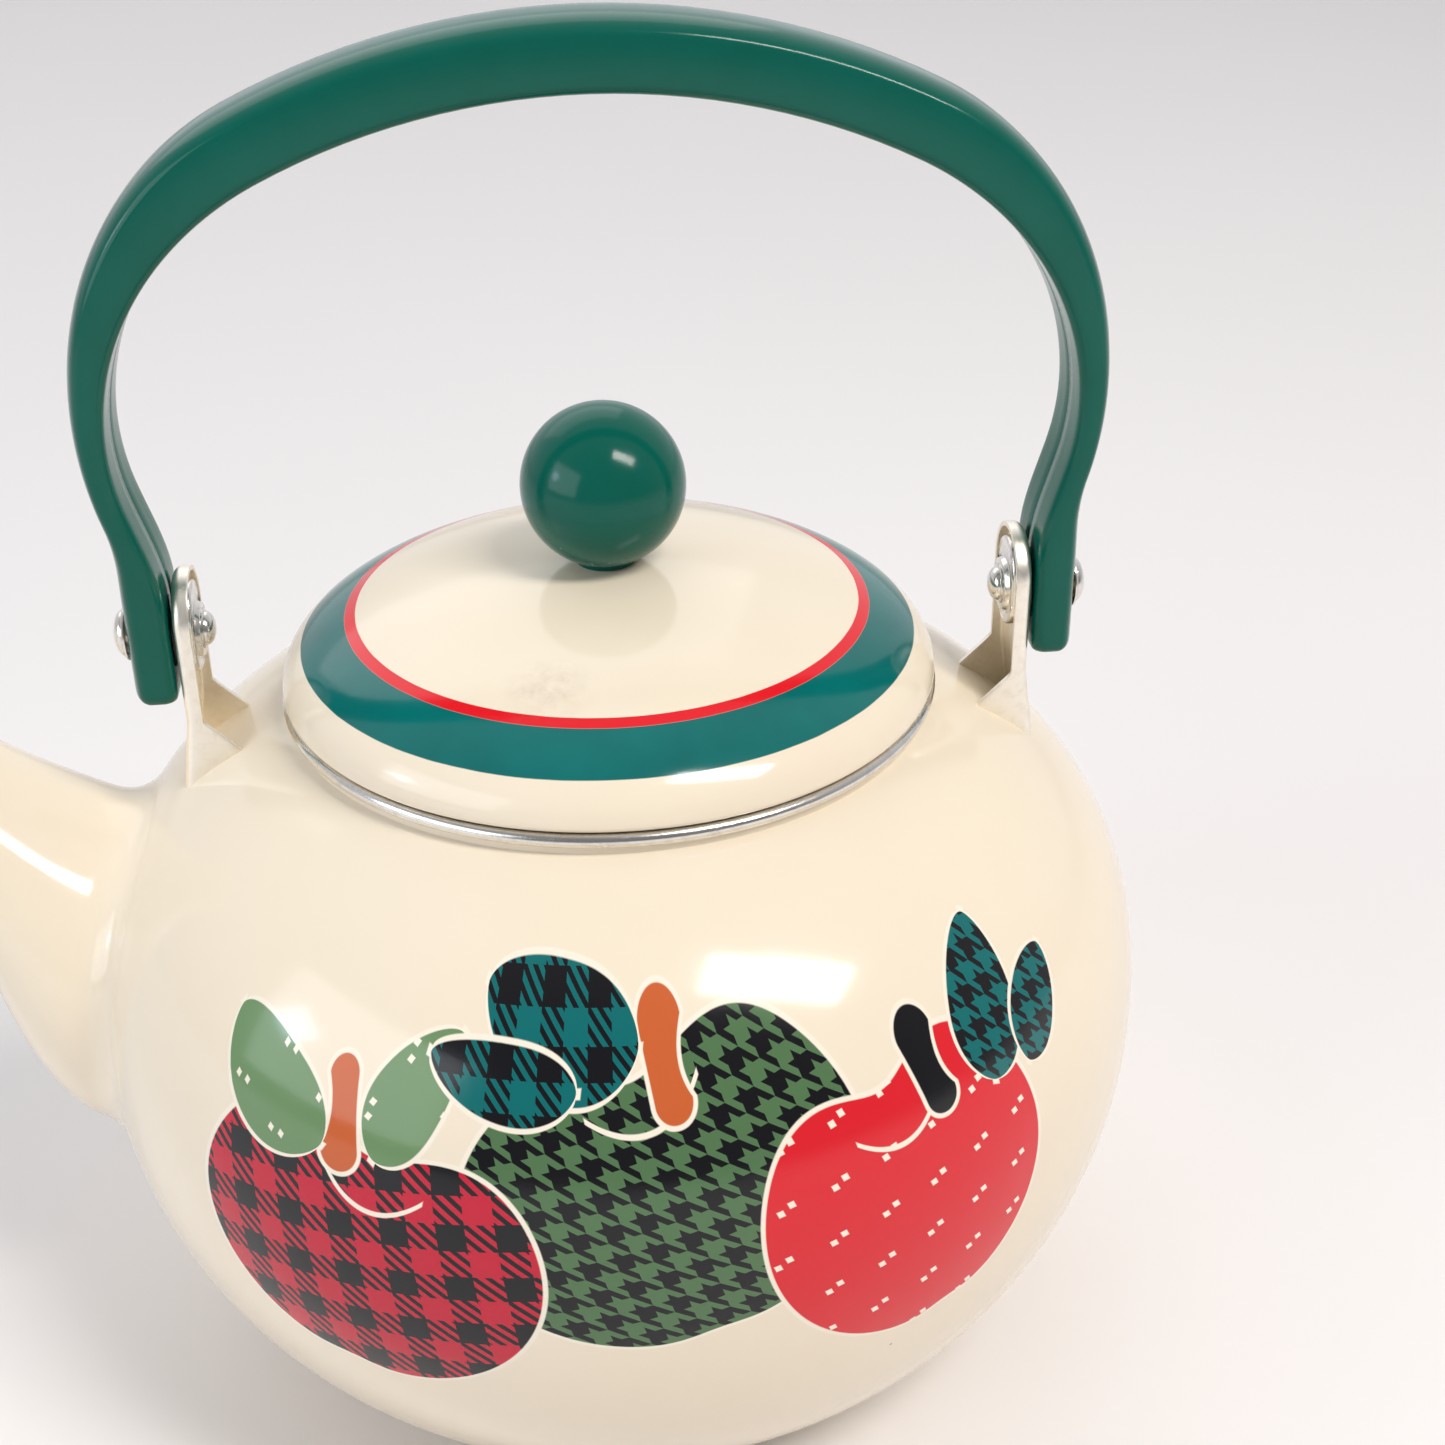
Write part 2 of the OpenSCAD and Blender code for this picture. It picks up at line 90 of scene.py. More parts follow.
# Lid: one superellipse curve with a rolled hem
HEM_R = 1.1
LID_WALL = 1.2
LID_POWER = 1.93
LID_R = lid_high.x
LID_Z = lid_low.z + HEM_R
LID_TOP = lid_high.z
LID_H = LID_TOP - LID_Z

# Bead: its section is a circle centred on the neck's outside, with a strip folded into the mouth.
# The drop and the fold are heights from the neck's top and from the centre, as shares of BEAD_R
BEAD_R = 1.3
BEAD_RING_R = rim_high.x - BEAD_R
BEAD_DROP = 0.3
FOLD_RISE = 0.7
FOLD_R = 0.4
STRIP_T = 0.6
STRIP_H = 4.0
MOUTH_R = BEAD_RING_R
TRIM_R = MOUTH_R - WALL - STRIP_T
NECK_TOP = body_high.z
BEAD_Z = NECK_TOP - BEAD_DROP * BEAD_R

KNOB_R = knob_high.x
KNOB_Z = knob_high.z - KNOB_R
KNOB_FOOT_R = 5.6

# Brackets: the web is upright above the notch and leans out below it, with a folded rim
PIVOT_Z = frame["joints"][0]["pos_m"][2] / MM
BRACKET_X = box_mm("spacer_right")[0].x
FOOT_LEAN = 0.15
SHEET = 0.9
BEND_R = 1.5
TONGUE_W = bracket_high.y - bracket_low.y
TONGUE_TOP = bracket_high.z
RIM_DEPTH = 3.0
NOTCH_Z = PIVOT_Z - 14.6
# How far the rim and the foot go into the body's wall
RIM_SUNK = 0.4
FOOT_SUNK = 1.0

# Backing plates: the hole is hidden by the rivet's head, and the step round it ends at STEP_R
PLATE_T = 2.3
PLATE_HOLE_R = 2.0
STEP_R = 5.1

# Rivets: the shank's radius, then the height and the radius of each head
SHANK_R = 2.5
INNER_HEAD_H, INNER_HEAD_R = 2.2, 3.7
OUTER_HEAD_H, OUTER_HEAD_R = 2.5, rivet_high.y

# Handle: a crown, a shoulder each side, a waist that curves back, and straight ends. The section
# thins from the crown's end to TAPER_END, both being angles below horizontal
HANDLE_W = handle_high.y - handle_low.y
HANDLE_TOP = handle_high.z
END_T = bush_high.x - bush_low.x
HANDLE_X = (bush_low.x + bush_high.x) / 2
GRIP_T = 12.0
WAIST_T = 5.4
CROWN_ANGLE, WAIST_ANGLE = 26.0, 16.0
SHOULDER_R, WAIST_R = 53.0, 62.0
STRAIGHT_ABOVE = 6.7
STRAIGHT_BELOW = PIVOT_Z - handle_low.z
TAPER_END = 102.0
# The rounding of the ends: along them, and in from their sides
END_ROUND = 2.5
END_INSET = 0.8 * END_ROUND

# Section of the handle: the inner edges' radius, the outer face's crown, and the seam's depth and
# half width at its bottom and at its edges. A share limits each curve by the section's own size
EDGE_R = 2.2
EDGE_SHARE = 0.42
CROWN_DEPTH = 2.8
CROWN_SHARE = 0.42
CORNER_STEPS = 8
SEAM_DEPTH = 0.07
SEAM_BOTTOM, SEAM_EDGE = 0.07, 0.22

# Spout: half height of its root, its width as a share of its height, and the port behind it
ROOT_Z = EQUATOR_Z + 2.0
ROOT_HALF = 28.5
ROOT_SQUASH = 0.91
PORT_EDGE = 3.5
PORT_R = ROOT_SQUASH * ROOT_HALF - WALL - PORT_EDGE
# The outlet's centre, radius and tilt, the lip that rolls out before it, and how far short of it
# the skin turns in
OUTLET = (-(BODY_R + 43.0), LID_Z + 5.5)
OUTLET_R = 11
OUTLET_TILT = math.radians(39)
OUTLET_HALF = (OUTLET_R * math.sin(OUTLET_TILT), OUTLET_R * math.cos(OUTLET_TILT))
LIP, LIP_START = 0.8, 0.94
LIP_BACK = 0.75
# The soft foot where the spout meets the body, and how far its edge is sunk
FILLET = 7.0
FILLET_SUNK = 0.06
# Control points (X, Z) of its upper and lower outlines, from inside the body to the outlet
SPOUT_UPPER = (
    (28 - BODY_R, ROOT_Z + ROOT_HALF),
    (-2 - BODY_R, ROOT_Z + ROOT_HALF + 14.5),
    (-19 - BODY_R, LID_Z - 14),
    (OUTLET[0] + OUTLET_HALF[0], OUTLET[1] + OUTLET_HALF[1]),
)
SPOUT_LOWER = (
    (20 - BODY_R, ROOT_Z - ROOT_HALF),
    (-31 - BODY_R, ROOT_Z - ROOT_HALF - 7.5),
    (-4.5 - BODY_R, LID_Z - 36),
    (OUTLET[0] - OUTLET_HALF[0], OUTLET[1] - OUTLET_HALF[1]),
)


# ---- Curves shared by several pieces ----


def rise_at(r, a, b, p):
    """Height of a superellipse above its centre at radius r."""
    return b * max(0.0, 1 - (r / a) ** p) ** (1 / p)


def reach_at(z, a, b, p):
    """Radius of a superellipse at height z from its centre."""
    return a * max(0.0, 1 - (abs(z) / b) ** p) ** (1 / p)


def body_radius(z, skin=0.0):
    """Radius of the body's wall at a height, a skin's thickness below its surface."""
    if z >= EQUATOR_Z:
        return reach_at(z - EQUATOR_Z, BODY_R - skin, UPPER_H - skin, UPPER_POWER)
    return reach_at(z - EQUATOR_Z, BODY_R - skin, LOWER_H - skin, LOWER_POWER)


def body_height(r, skin=0.0):
    """Height of the body's upper curve at radius r, a skin's thickness below its surface."""
    return EQUATOR_Z + rise_at(r, BODY_R - skin, UPPER_H - skin, UPPER_POWER)


def lid_height(r):
    """Height of the lid's surface at radius r."""
    return LID_Z + rise_at(r, LID_R, LID_H, LID_POWER)


def arc(cx, cy, r, start, end, steps):
    """Points of an arc from angle start to end, in degrees, as (across, up)."""
    points = []
    for i in range(steps + 1):
        a = math.radians(start + (end - start) * i / steps)
        points.append((cx + r * math.cos(a), cy + r * math.sin(a)))
    return points


def sin_d(a):
    return math.sin(math.radians(a))


def cos_d(a):
    return math.cos(math.radians(a))


def swell(a, b, t):
    """Smooth change from a to b as t goes from 0 to 1."""
    t = min(1.0, max(0.0, t))
    return a + (b - a) * (1 - math.cos(math.pi * t)) / 2


# ---- Mesh helpers ----


def add_object(name, data):
    """A new object in the scene."""
    thing = bpy.data.objects.new(name, data)
    bpy.context.scene.collection.objects.link(thing)
    return thing


def new_mesh(name, points, faces):
    """A mesh from points in millimetres."""
    mesh = bpy.data.meshes.new(name)
    mesh.from_pydata([(x * MM, y * MM, z * MM) for x, y, z in points], [], faces)
    return mesh


def turns(n):
    """The angles of n equal steps round a circle."""
    return [2 * math.pi * i / n for i in range(n)]


def add_mesh(name, points, faces, material, body, node, slot, sharp=None):
    """A smooth mesh piece from points in millimetres that rides on a body in a CAD node's place."""
    mesh = new_mesh(name, points, faces)
    mesh.validate()
    mesh.update()
    piece = add_object(name, mesh)
    mesh.materials.append(material)
    mesh.shade_smooth()
    if sharp is not None:
        mesh.set_sharp_from_angle(angle=math.radians(sharp))
    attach(piece, body)
    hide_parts(node)
    return piece


def revolve(profile, segments):
    """Points and faces of an open (radius, height) profile turned about the Z axis."""
    points, faces, rows = [], [], []
    for r, z in profile:
        if r < 1e-6:
            rows.append([len(points)])
            points.append((0.0, 0.0, z))
            continue
        rows.append(list(range(len(points), len(points) + segments)))
        points += [(r * math.cos(a), r * math.sin(a), z) for a in turns(segments)]
    for lower, upper in zip(rows, rows[1:]):
        for i in range(segments):
            h = (i + 1) % segments
            if len(lower) == 1:
                faces.append((lower[0], upper[h], upper[i]))
            elif len(upper) == 1:
                faces.append((lower[i], lower[h], upper[0]))
            else:
                faces.append((lower[i], lower[h], upper[h], upper[i]))
    return points, faces


def skin_rings(rings, around=True, closed_ends=False):
    """Points and faces of a tube through rings of equally many points, or of a sheet through rows."""
    n = len(rings[0])
    points = [p for ring in rings for p in ring]
    faces = []
    for j in range(len(rings) - 1):
        for i in range(n if around else n - 1):
            h = (i + 1) % n
            faces.append((j * n + i, j * n + h, (j + 1) * n + h, (j + 1) * n + i))
    if closed_ends:
        faces.append(tuple(range(n - 1, -1, -1)))
        faces.append(tuple((len(rings) - 1) * n + i for i in range(n)))
    return points, faces


SIDES = (("left", -1), ("right", 1))


def on_side(points, faces, s):
    """The same piece for the right (s = 1), or mirrored to the spout's side (s = -1)."""
    if s > 0:
        return points, faces
    return [(-x, y, z) for x, y, z in points], [tuple(reversed(f)) for f in faces]


# ---- Camera ----


def placed(right, up, back, place):
    """The matrix of a camera or a light from its own axes and its place."""
    columns = zip(right, up, back, place)
    return Matrix([*columns, (0, 0, 0, 1)])


def add_camera():
    """A hand-held view from in front and above, close to the kettle."""
    place = Vector((-0.0145, -0.3460, 0.3195))
    # radians: right of straight ahead, down from level, and tilt of the horizon
    pan, pitch, roll = 0.1013, 0.5135, -0.0118
    ahead = Vector((math.sin(pan) * math.cos(pitch), math.cos(pan) * math.cos(pitch), -math.sin(pitch)))
    right = Vector((math.cos(pan), -math.sin(pan), 0))
    up = right.cross(ahead)
    right, up = (
        math.cos(roll) * right + math.sin(roll) * up,
        math.cos(roll) * up - math.sin(roll) * right,
    )
    data = bpy.data.cameras.new("view")
    data.sensor_width = 36
    data.lens = 52.68
    data.clip_start = 0.01
    camera = add_object("view", data)
    camera.matrix_world = placed(right, up, -ahead, place)
    bpy.context.scene.camera = camera


add_camera()


# ---- Node graphs written as arithmetic ----


class Term:
    """A socket in a material's node tree. Arithmetic on terms adds Math nodes."""

    def __init__(self, tree, socket):
        self.tree = tree
        self.socket = socket

    def math(self, operation, *others, clamp=False):
        node = self.tree.nodes.new("ShaderNodeMath")
        node.operation = operation
        node.use_clamp = clamp
        for slot, value in zip(node.inputs, (self,) + others):
            feed(self.tree, slot, value)
        return Term(self.tree, node.outputs[0])

    def __add__(self, other):
        return self.math("ADD", other)

    def __sub__(self, other):
        return self.math("SUBTRACT", other)

    def __rsub__(self, other):
        return self.math("MULTIPLY_ADD", -1.0, other)

    def __mul__(self, other):
        return self.math("MULTIPLY", other)

    def __truediv__(self, other):
        return self.math("DIVIDE", other)

    __radd__ = __add__
    __rmul__ = __mul__

    def least(self, other):
        return self.math("MINIMUM", other)

    def most(self, other):
        return self.math("MAXIMUM", other)

    def size(self):
        return self.math("ABSOLUTE")

    def below(self, edge, soft):
        """1 well below the edge, 0 well above it, with a soft step between."""
        return ((edge - self) / soft + 0.5).share()

    def share(self):
        """The value kept between 0 and 1."""
        return self.math("ADD", 0.0, clamp=True)

    def repeat(self, period):
        """What is left over after whole periods."""
        return self.math("WRAP", period, 0.0)

    def wave(self, period):
        """Distance to the nearest whole number of periods, from 0 to half a period."""
        return self.math("PINGPONG", period / 2)


def feed(tree, slot, value):
    """Links a term to an input, or sets the input to a number, a vector or a colour."""
    if isinstance(value, Term):
        tree.links.new(value.socket, slot)
    elif isinstance(value, (int, float)):
        slot.default_value = value
    else:
        opaque = (1.0,) if slot.type == "RGBA" else ()
        slot.default_value = tuple(value) + opaque


def length(x, y):
    return (x * x + y * y).math("SQRT")


def blend(share, first, second):
    """Mixes two colours: share 0 gives the first."""
    tree = share.tree
    node = tree.nodes.new("ShaderNodeMix")
    node.data_type = "RGBA"
    feed(tree, node.inputs[0], share)
    feed(tree, node.inputs[6], first)
    feed(tree, node.inputs[7], second)
    return Term(tree, node.outputs[2])


def place_of(tree):
    """The shaded point in millimetres in the piece's own axes, as a vector and as x, y and z."""
    coordinates = tree.nodes.new("ShaderNodeTexCoord")
    scale = tree.nodes.new("ShaderNodeVectorMath")
    scale.operation = "SCALE"
    scale.inputs["Scale"].default_value = 1 / MM
    tree.links.new(coordinates.outputs["Object"], scale.inputs[0])
    split = tree.nodes.new("ShaderNodeSeparateXYZ")
    tree.links.new(scale.outputs[0], split.inputs[0])
    vector = Term(tree, scale.outputs[0])
    return vector, [Term(tree, socket) for socket in split.outputs]


def stretched(vector, x, y, z):
    """The point scaled along each axis, so a factor below 1 draws a pattern out that way."""
    tree = vector.tree
    node = tree.nodes.new("ShaderNodeVectorMath")
    node.operation = "MULTIPLY"
    feed(tree, node.inputs[0], vector)
    node.inputs[1].default_value = (x, y, z)
    return Term(tree, node.outputs[0])


def noise(vector, size, detail=2.0, rough=0.5):
    """Smooth noise between 0 and 1 whose features are about that size, in the point's own units."""
    tree = vector.tree
    node = tree.nodes.new("ShaderNodeTexNoise")
    feed(tree, node.inputs["Vector"], vector)
    node.inputs["Scale"].default_value = 1 / size
    node.inputs["Detail"].default_value = detail
    node.inputs["Roughness"].default_value = rough
    return Term(tree, node.outputs["Fac"])


def dots(vector, spacing, radius, share, soft=0.25):
    """Scattered round marks up to that radius, in that share of the cells."""
    tree = vector.tree
    node = tree.nodes.new("ShaderNodeTexVoronoi")
    feed(tree, node.inputs["Vector"], vector)
    node.inputs["Scale"].default_value = 1 / spacing
    split = tree.nodes.new("ShaderNodeSeparateColor")
    tree.links.new(node.outputs["Color"], split.inputs[0])
    chance, growth = Term(tree, split.outputs[0]), Term(tree, split.outputs[1])
    away = Term(tree, node.outputs["Distance"]) * spacing
    reach = (growth * 0.7 + 0.3) * radius
    return away.below(reach, radius * soft) * chance.below(share, 0.001)


def bump(height, depth, distance):
    """A normal for small relief: how strong it is, and how many metres a height of 1 stands for."""
    tree = height.tree
    node = tree.nodes.new("ShaderNodeBump")
    node.inputs["Strength"].default_value = depth
    node.inputs["Distance"].default_value = distance
    feed(tree, node.inputs["Height"], height)
    return Term(tree, node.outputs["Normal"])


def start(name):
    """A new material and its tree and shader."""
    material = bpy.data.materials.new(name)
    material.use_nodes = True
    tree = material.node_tree
    return material, tree, tree.nodes["Principled BSDF"]


def dress(shader, colour, roughness, normal):
    """Feeds the shader what varies over the surface."""
    feed(colour.tree, shader.inputs["Base Color"], colour)
    feed(colour.tree, shader.inputs["Roughness"], roughness)
    feed(colour.tree, shader.inputs["Normal"], normal)


# ---- Colours, linear ----

CREAM = (0.86, 0.755, 0.60)
CREAM_WARM = (0.83, 0.71, 0.53)
CREAM_PRINT = (0.90, 0.82, 0.68)
CHIP = (0.10, 0.07, 0.05)
SPECK = (0.28, 0.19, 0.12)
GREEN = (0.001, 0.085, 0.058)
GREEN_PALE = (0.003, 0.115, 0.084)
BAND_TEAL = (0.001, 0.175, 0.160)
BAND_TEAL_DEEP = (0.001, 0.100, 0.095)
BAND_RED = (0.75, 0.010, 0.018)
INK = (0.006, 0.006, 0.008)
FRUIT_CRIMSON = (0.55, 0.010, 0.035)
FRUIT_RED = (0.70, 0.015, 0.025)
FRUIT_GREEN = (0.085, 0.175, 0.075)
LEAF_SAGE = (0.150, 0.270, 0.120)
LEAF_TEAL = (0.003, 0.140, 0.140)
STEM = (0.58, 0.120, 0.032)
SCUFF = (0.30, 0.36, 0.30)
STEEL, STEEL_WORN = (0.78, 0.76, 0.72), (0.42, 0.33, 0.24)
SATIN, SATIN_WORN = (0.95, 0.90, 0.80), (0.76, 0.66, 0.50)
BRASS, BRASS_WORN = (0.72, 0.50, 0.20), (0.34, 0.22, 0.10)
FIBRE_DARK, FIBRE_PALE = (0.012, 0.011, 0.010), (0.060, 0.052, 0.045)
FLOOR_DARK, FLOOR_PALE = (0.82, 0.79, 0.78), (0.85, 0.825, 0.815)
SKY = (0.95, 0.96, 1.0, 1)


def enamel_finish(shader, vector, colour):
    """Glassy enamel over a colour: faint orange peel, a few specks and ragged chips."""
    specks = dots(vector, 12, 0.40, 0.34)
    chips = dots(vector, 34, 0.90, 0.20)
    ragged = noise(vector, 1.2, 3)
    chips = chips * ragged.math("GREATER_THAN", 0.42)
    shade = blend(specks * 0.75, colour, SPECK)
    shade = blend(chips, shade, CHIP)
    wiped = noise(stretched(vector, 1, 1, 0.35), 9, 4, 0.6)
    peel = noise(vector, 4.5, 2) + noise(vector, 0.7, 1) * 0.15
    relief = bump(peel - chips * 2.0, 0.35, 0.06 * MM)
    dress(shader, shade, wiped * 0.12 + 0.07 + chips * 0.5, relief)
    shader.inputs["Coat Weight"].default_value = 0.10
    shader.inputs["Coat Roughness"].default_value = 0.03
    shader.inputs["Specular IOR Level"].default_value = 0.36


def cream_base(vector):
    """Cream that is a little warmer in soft clouds."""
    cloud = noise(vector, 30, 3)
    return blend((cloud * 1.6 - 0.4).share() * 0.5, CREAM, CREAM_WARM)


def plain_enamel(name):
    """Cream enamel with nothing printed on it."""
    material, tree, shader = start(name)
    vector, _ = place_of(tree)
    enamel_finish(shader, vector, cream_base(vector))
    return material


# The lid's printed bands, as the radius of the middle and half the width, and their soft edge
TEAL_BAND = (51.5, 4.1)
RED_BAND = (46.4, 1.0)
BAND_SOFT = 0.12
# The bands stay on the outside, above the hem, and a smudge of dirt lies towards the front
BANDS_FROM_Z = LID_Z + 1.5
SMUDGE = (-12.0, -38.0)
SMUDGE_R, SMUDGE_SOFT = 5.0, 8.0


def ringed_enamel(name):
    """The lid's enamel, with a wide teal band and a narrow red one inside it."""
    material, tree, shader = start(name)
    vector, (x, y, z) = place_of(tree)
    r = length(x, y) + (noise(vector, 6, 1) - 0.5) * 0.12
    outside = (z - BANDS_FROM_Z).math("GREATER_THAN", 0.0)
    teal = (r - TEAL_BAND[0]).size().below(TEAL_BAND[1], BAND_SOFT) * outside
    red = (r - RED_BAND[0]).size().below(RED_BAND[1], BAND_SOFT) * outside
    mottled = noise(vector, 14, 4)
    teal_ink = blend(mottled, BAND_TEAL, BAND_TEAL_DEEP)
    colour = blend(teal, cream_base(vector), teal_ink)
    colour = blend(red, colour, BAND_RED)
    smudge = noise(vector, 3.0, 5, 0.7)
    away = length(x - SMUDGE[0], y - SMUDGE[1])
    dirt = away.below(SMUDGE_R, SMUDGE_SOFT) * (smudge * 2.4 - 0.9).share() * 0.35
    colour = blend(dirt, colour, SPECK)
    enamel_finish(shader, vector, colour)
    return material


def moulded(name, base, pale, worn_z=None):
    """Glossy moulded plastic with a slight swirl and rubbed patches, chipped at a given height."""
    material, tree, shader = start(name)
    vector, (_, _, z) = place_of(tree)
    swirl = noise(vector, 22, 5, 0.6)
    rubbed = noise(stretched(vector, 1, 0.3, 1), 5, 5, 0.65)
    colour = blend(swirl, base, pale)
    marks = dots(vector, 9, 0.22, 0.20)
    colour = blend(marks * 0.6, colour, SCUFF)
    if worn_z is not None:
        ragged = noise(vector, 1.1, 3, 0.6).math("GREATER_THAN", 0.60)
        chips = (z - worn_z).size().below(1.1, 0.8) * ragged
        colour = blend(chips * 0.8, colour, SCUFF)
    grain = noise(vector, 0.6, 2) * 0.4 + noise(vector, 7, 2)
    dress(shader, colour, rubbed * 0.14 + 0.08, bump(grain, 0.3, 0.05 * MM))
    shader.inputs["Specular IOR Level"].default_value = 0.24
    return material


def metal(name, base, worn, rough, across):
    """Metal of a given roughness with smudges, a little tarnish, and fine marks drawn one way."""
    material, tree, shader = start(name)
    vector, _ = place_of(tree)
    lines = noise(stretched(vector, *across), 0.5, 3, 0.6)
    smudge = noise(vector, 6, 4, 0.6)
    tarnish = (noise(vector, 2.2, 5, 0.7) * 2.6 - 1.25).share()
    colour = blend(tarnish * 0.6, base, worn)
    relief = bump(lines + tarnish * 0.5, 0.25, 0.03 * MM)
    dress(shader, colour, smudge * 0.16 + rough + tarnish * 0.2, relief)
    shader.inputs["Metallic"].default_value = 1.0
    return material


def fibre_board(name):
    """Dark pressed fibre with short flecks."""
    material, tree, shader = start(name)
    vector, _ = place_of(tree)
    fleck = noise(stretched(vector, 1, 0.25, 1), 0.5, 4, 0.7)
    colour = blend(fleck, FIBRE_DARK, FIBRE_PALE)
    dress(shader, colour, fleck * 0.3 + 0.5, bump(fleck, 0.5, 0.1 * MM))
    return material


# ---- The printed fruit ----

# Radius at which the print's widths are true
PRINT_R = 96.0
# Soft edge of every shape, width of the pale rim round it, and the stroke's thickness and offset
PRINT_SOFT = 0.2
PRINT_RIM = 0.75
SMILE_T = 0.9
SMILE_X = 1
# Fruit: centre (round from the front, and up from the lid's hem), turn, half width, half height,
# dip and pattern, then the stroke's height, half width and drop
FRUITS = (
    (2.5, -48.5, 16, 33, 27, 0.32, "tooth", (18.5, 9.5, 4.5)),
    (-49.5, -63, -9, 30.5, 27, 0.31, "check", (17, 8.5, 4.5)),
    (44, -58.5, 13, 26.5, 28.5, 0.29, "dots", (18, 8.0, 4.0)),
)
# Stalks and leaves: centre, turn, half length, half width, and colour or pattern
STEMS = (
    (-52.0, -36.5, 186, 5.5, 3.3, STEM),
    (2.0, -26.0, 8, 5.0, 3.8, STEM),
    (48.0, -35.0, 12, 5.0, 3.7, INK),
)
LEAVES = (
    (-67.0, -35.0, 148, 13.5, 7.6, "dots"),
    (-39.5, -32.5, 56, 11.5, 6.2, "dots"),
    (-16.0, -20.5, 166, 14.5, 8.0, "check"),
    (-25.5, -27.5, 172, 13.0, 5.0, "check"),
    (65.5, -31.0, 70, 12.0, 7.4, "tooth"),
    (76.5, -36.0, 48, 9.5, 5.4, "tooth"),
)


def turned(x, y, cx, cy, angle):
    """Print coordinates moved to a centre and turned by an angle in degrees."""
    c, s = math.cos(math.radians(angle)), math.sin(math.radians(angle))
    dx, dy = x - cx, y - cy
    return dx * c + dy * s, dy * c - dx * s


def apple(x, y, half_w, half_h, dip):
    """Signed measure of an apple's outline, about in millimetres and below 0 inside: a round shape
    that widens upwards, with a dip under the stalk and a slight one at the foot."""
    nx, ny = x / half_w, y / half_h
    away = length(nx, ny)
    up = ny / away.most(0.001)
    crown = up.most(0.0).math("POWER", 9.0)
    foot = (up * -1.0).most(0.0).math("POWER", 40.0)
    edge = 1.0 + ny * 0.14 - crown * dip - foot * 0.05
    return (away - edge) * ((half_w + half_h) / 2)


def leaf(x, y, half_l, half_w):
    """Signed measure of a plump leaf along x, round at its base and pointed at its tip."""
    t = x / half_l
    bend = y - (1.0 - t * t) * (half_w * 0.22)
    swell_out = (t.size().least(1.0)).math("POWER", 2.2)
    width = (1.0 - swell_out).most(0.0).math("POWER", 0.62) * (1.0 - t * 0.22) * half_w
    return (bend.size() - width).most(x.size() - half_l)


def stem(x, y, half_l, half_w):
    """Signed measure of a short rounded stalk that widens towards its top."""
    along = y.most(-half_l).least(half_l)
    t = along / half_l
    wide = t * t * (half_w * 0.22) + t * (half_w * 0.10) + half_w * 0.72
    return length(x - t * t * (half_w * 0.2), y - along) - wide


def smile(x, y, half_w, drop):
    """Signed measure of a thin curved stroke under the stalk."""
    t = x / half_w
    curve = (t * t - 1.0) * drop
    return (y - curve).size().most(x.size() - half_w) - SMILE_T / 2


def gingham(x, y, pitch, dark, bright):
    """Woven check: solid dark where both bands cross, diagonal hatching where one shows."""
    across = x.wave(pitch).math("LESS_THAN", pitch / 4)
    up = y.wave(pitch).math("LESS_THAN", pitch / 4)
    hatch = (x + y).wave(pitch / 4).math("LESS_THAN", pitch / 16)
    both = across * up
    one = (across + up - both * 2.0) * hatch
    return blend(both.most(one), bright, dark)


def toothed(x, y, pitch, dark, bright):
    """Broken check from a two-and-two twill: four dark and four bright threads each way."""
    thread = pitch / 8
    warp = x.repeat(pitch).math("LESS_THAN", pitch / 2)
    weft = y.repeat(pitch).math("LESS_THAN", pitch / 2)
    over = (x + y).repeat(thread * 4).math("LESS_THAN", thread * 2)
    shade = warp * over + weft * (1.0 - over)
    return blend(shade, bright, dark)


def paired_dots(x, y, pitch, dot_r, dark, bright):
    """Pairs of small square dots in staggered rows."""
    row = (y / pitch).math("FLOOR")
    shift = row.repeat(2.0) * (pitch / 2)
    u = (x + shift + y * 0.18).repeat(pitch) - pitch / 2
    v = y.repeat(pitch) - pitch / 2
    first = (u + 1.1).size().most((v + 0.4).size())
    second = (u - 1.1).size().most((v - 0.4).size())
    return blend(first.least(second).below(dot_r, 0.15), dark, bright)


def fruit_ink(style, x, y, u, v):
    """A fruit's pattern, along the print's own axes (x, y) or turned with the fruit (u, v)."""
    if style == "tooth":
        return toothed(u, v, 5.4, INK, FRUIT_GREEN)
    if style == "check":
        across, up = turned(x, y, 0, 0, 7)
        return gingham(across, up, 9.6, INK, FRUIT_CRIMSON)
    return paired_dots(u, v, 9.5, 0.55, FRUIT_RED, CREAM_PRINT)


def leaf_ink(style, x, y, u, v):
    """A leaf's pattern, along the print's own axes (x, y) or turned with the leaf (u, v)."""
    if style == "tooth":
        return toothed(x, y, 5.0, INK, LEAF_TEAL)
    if style == "check":
        return gingham(x, y, 8.6, INK, LEAF_TEAL)
    return paired_dots(u, v, 10.5, 0.5, LEAF_SAGE, CREAM_PRINT)


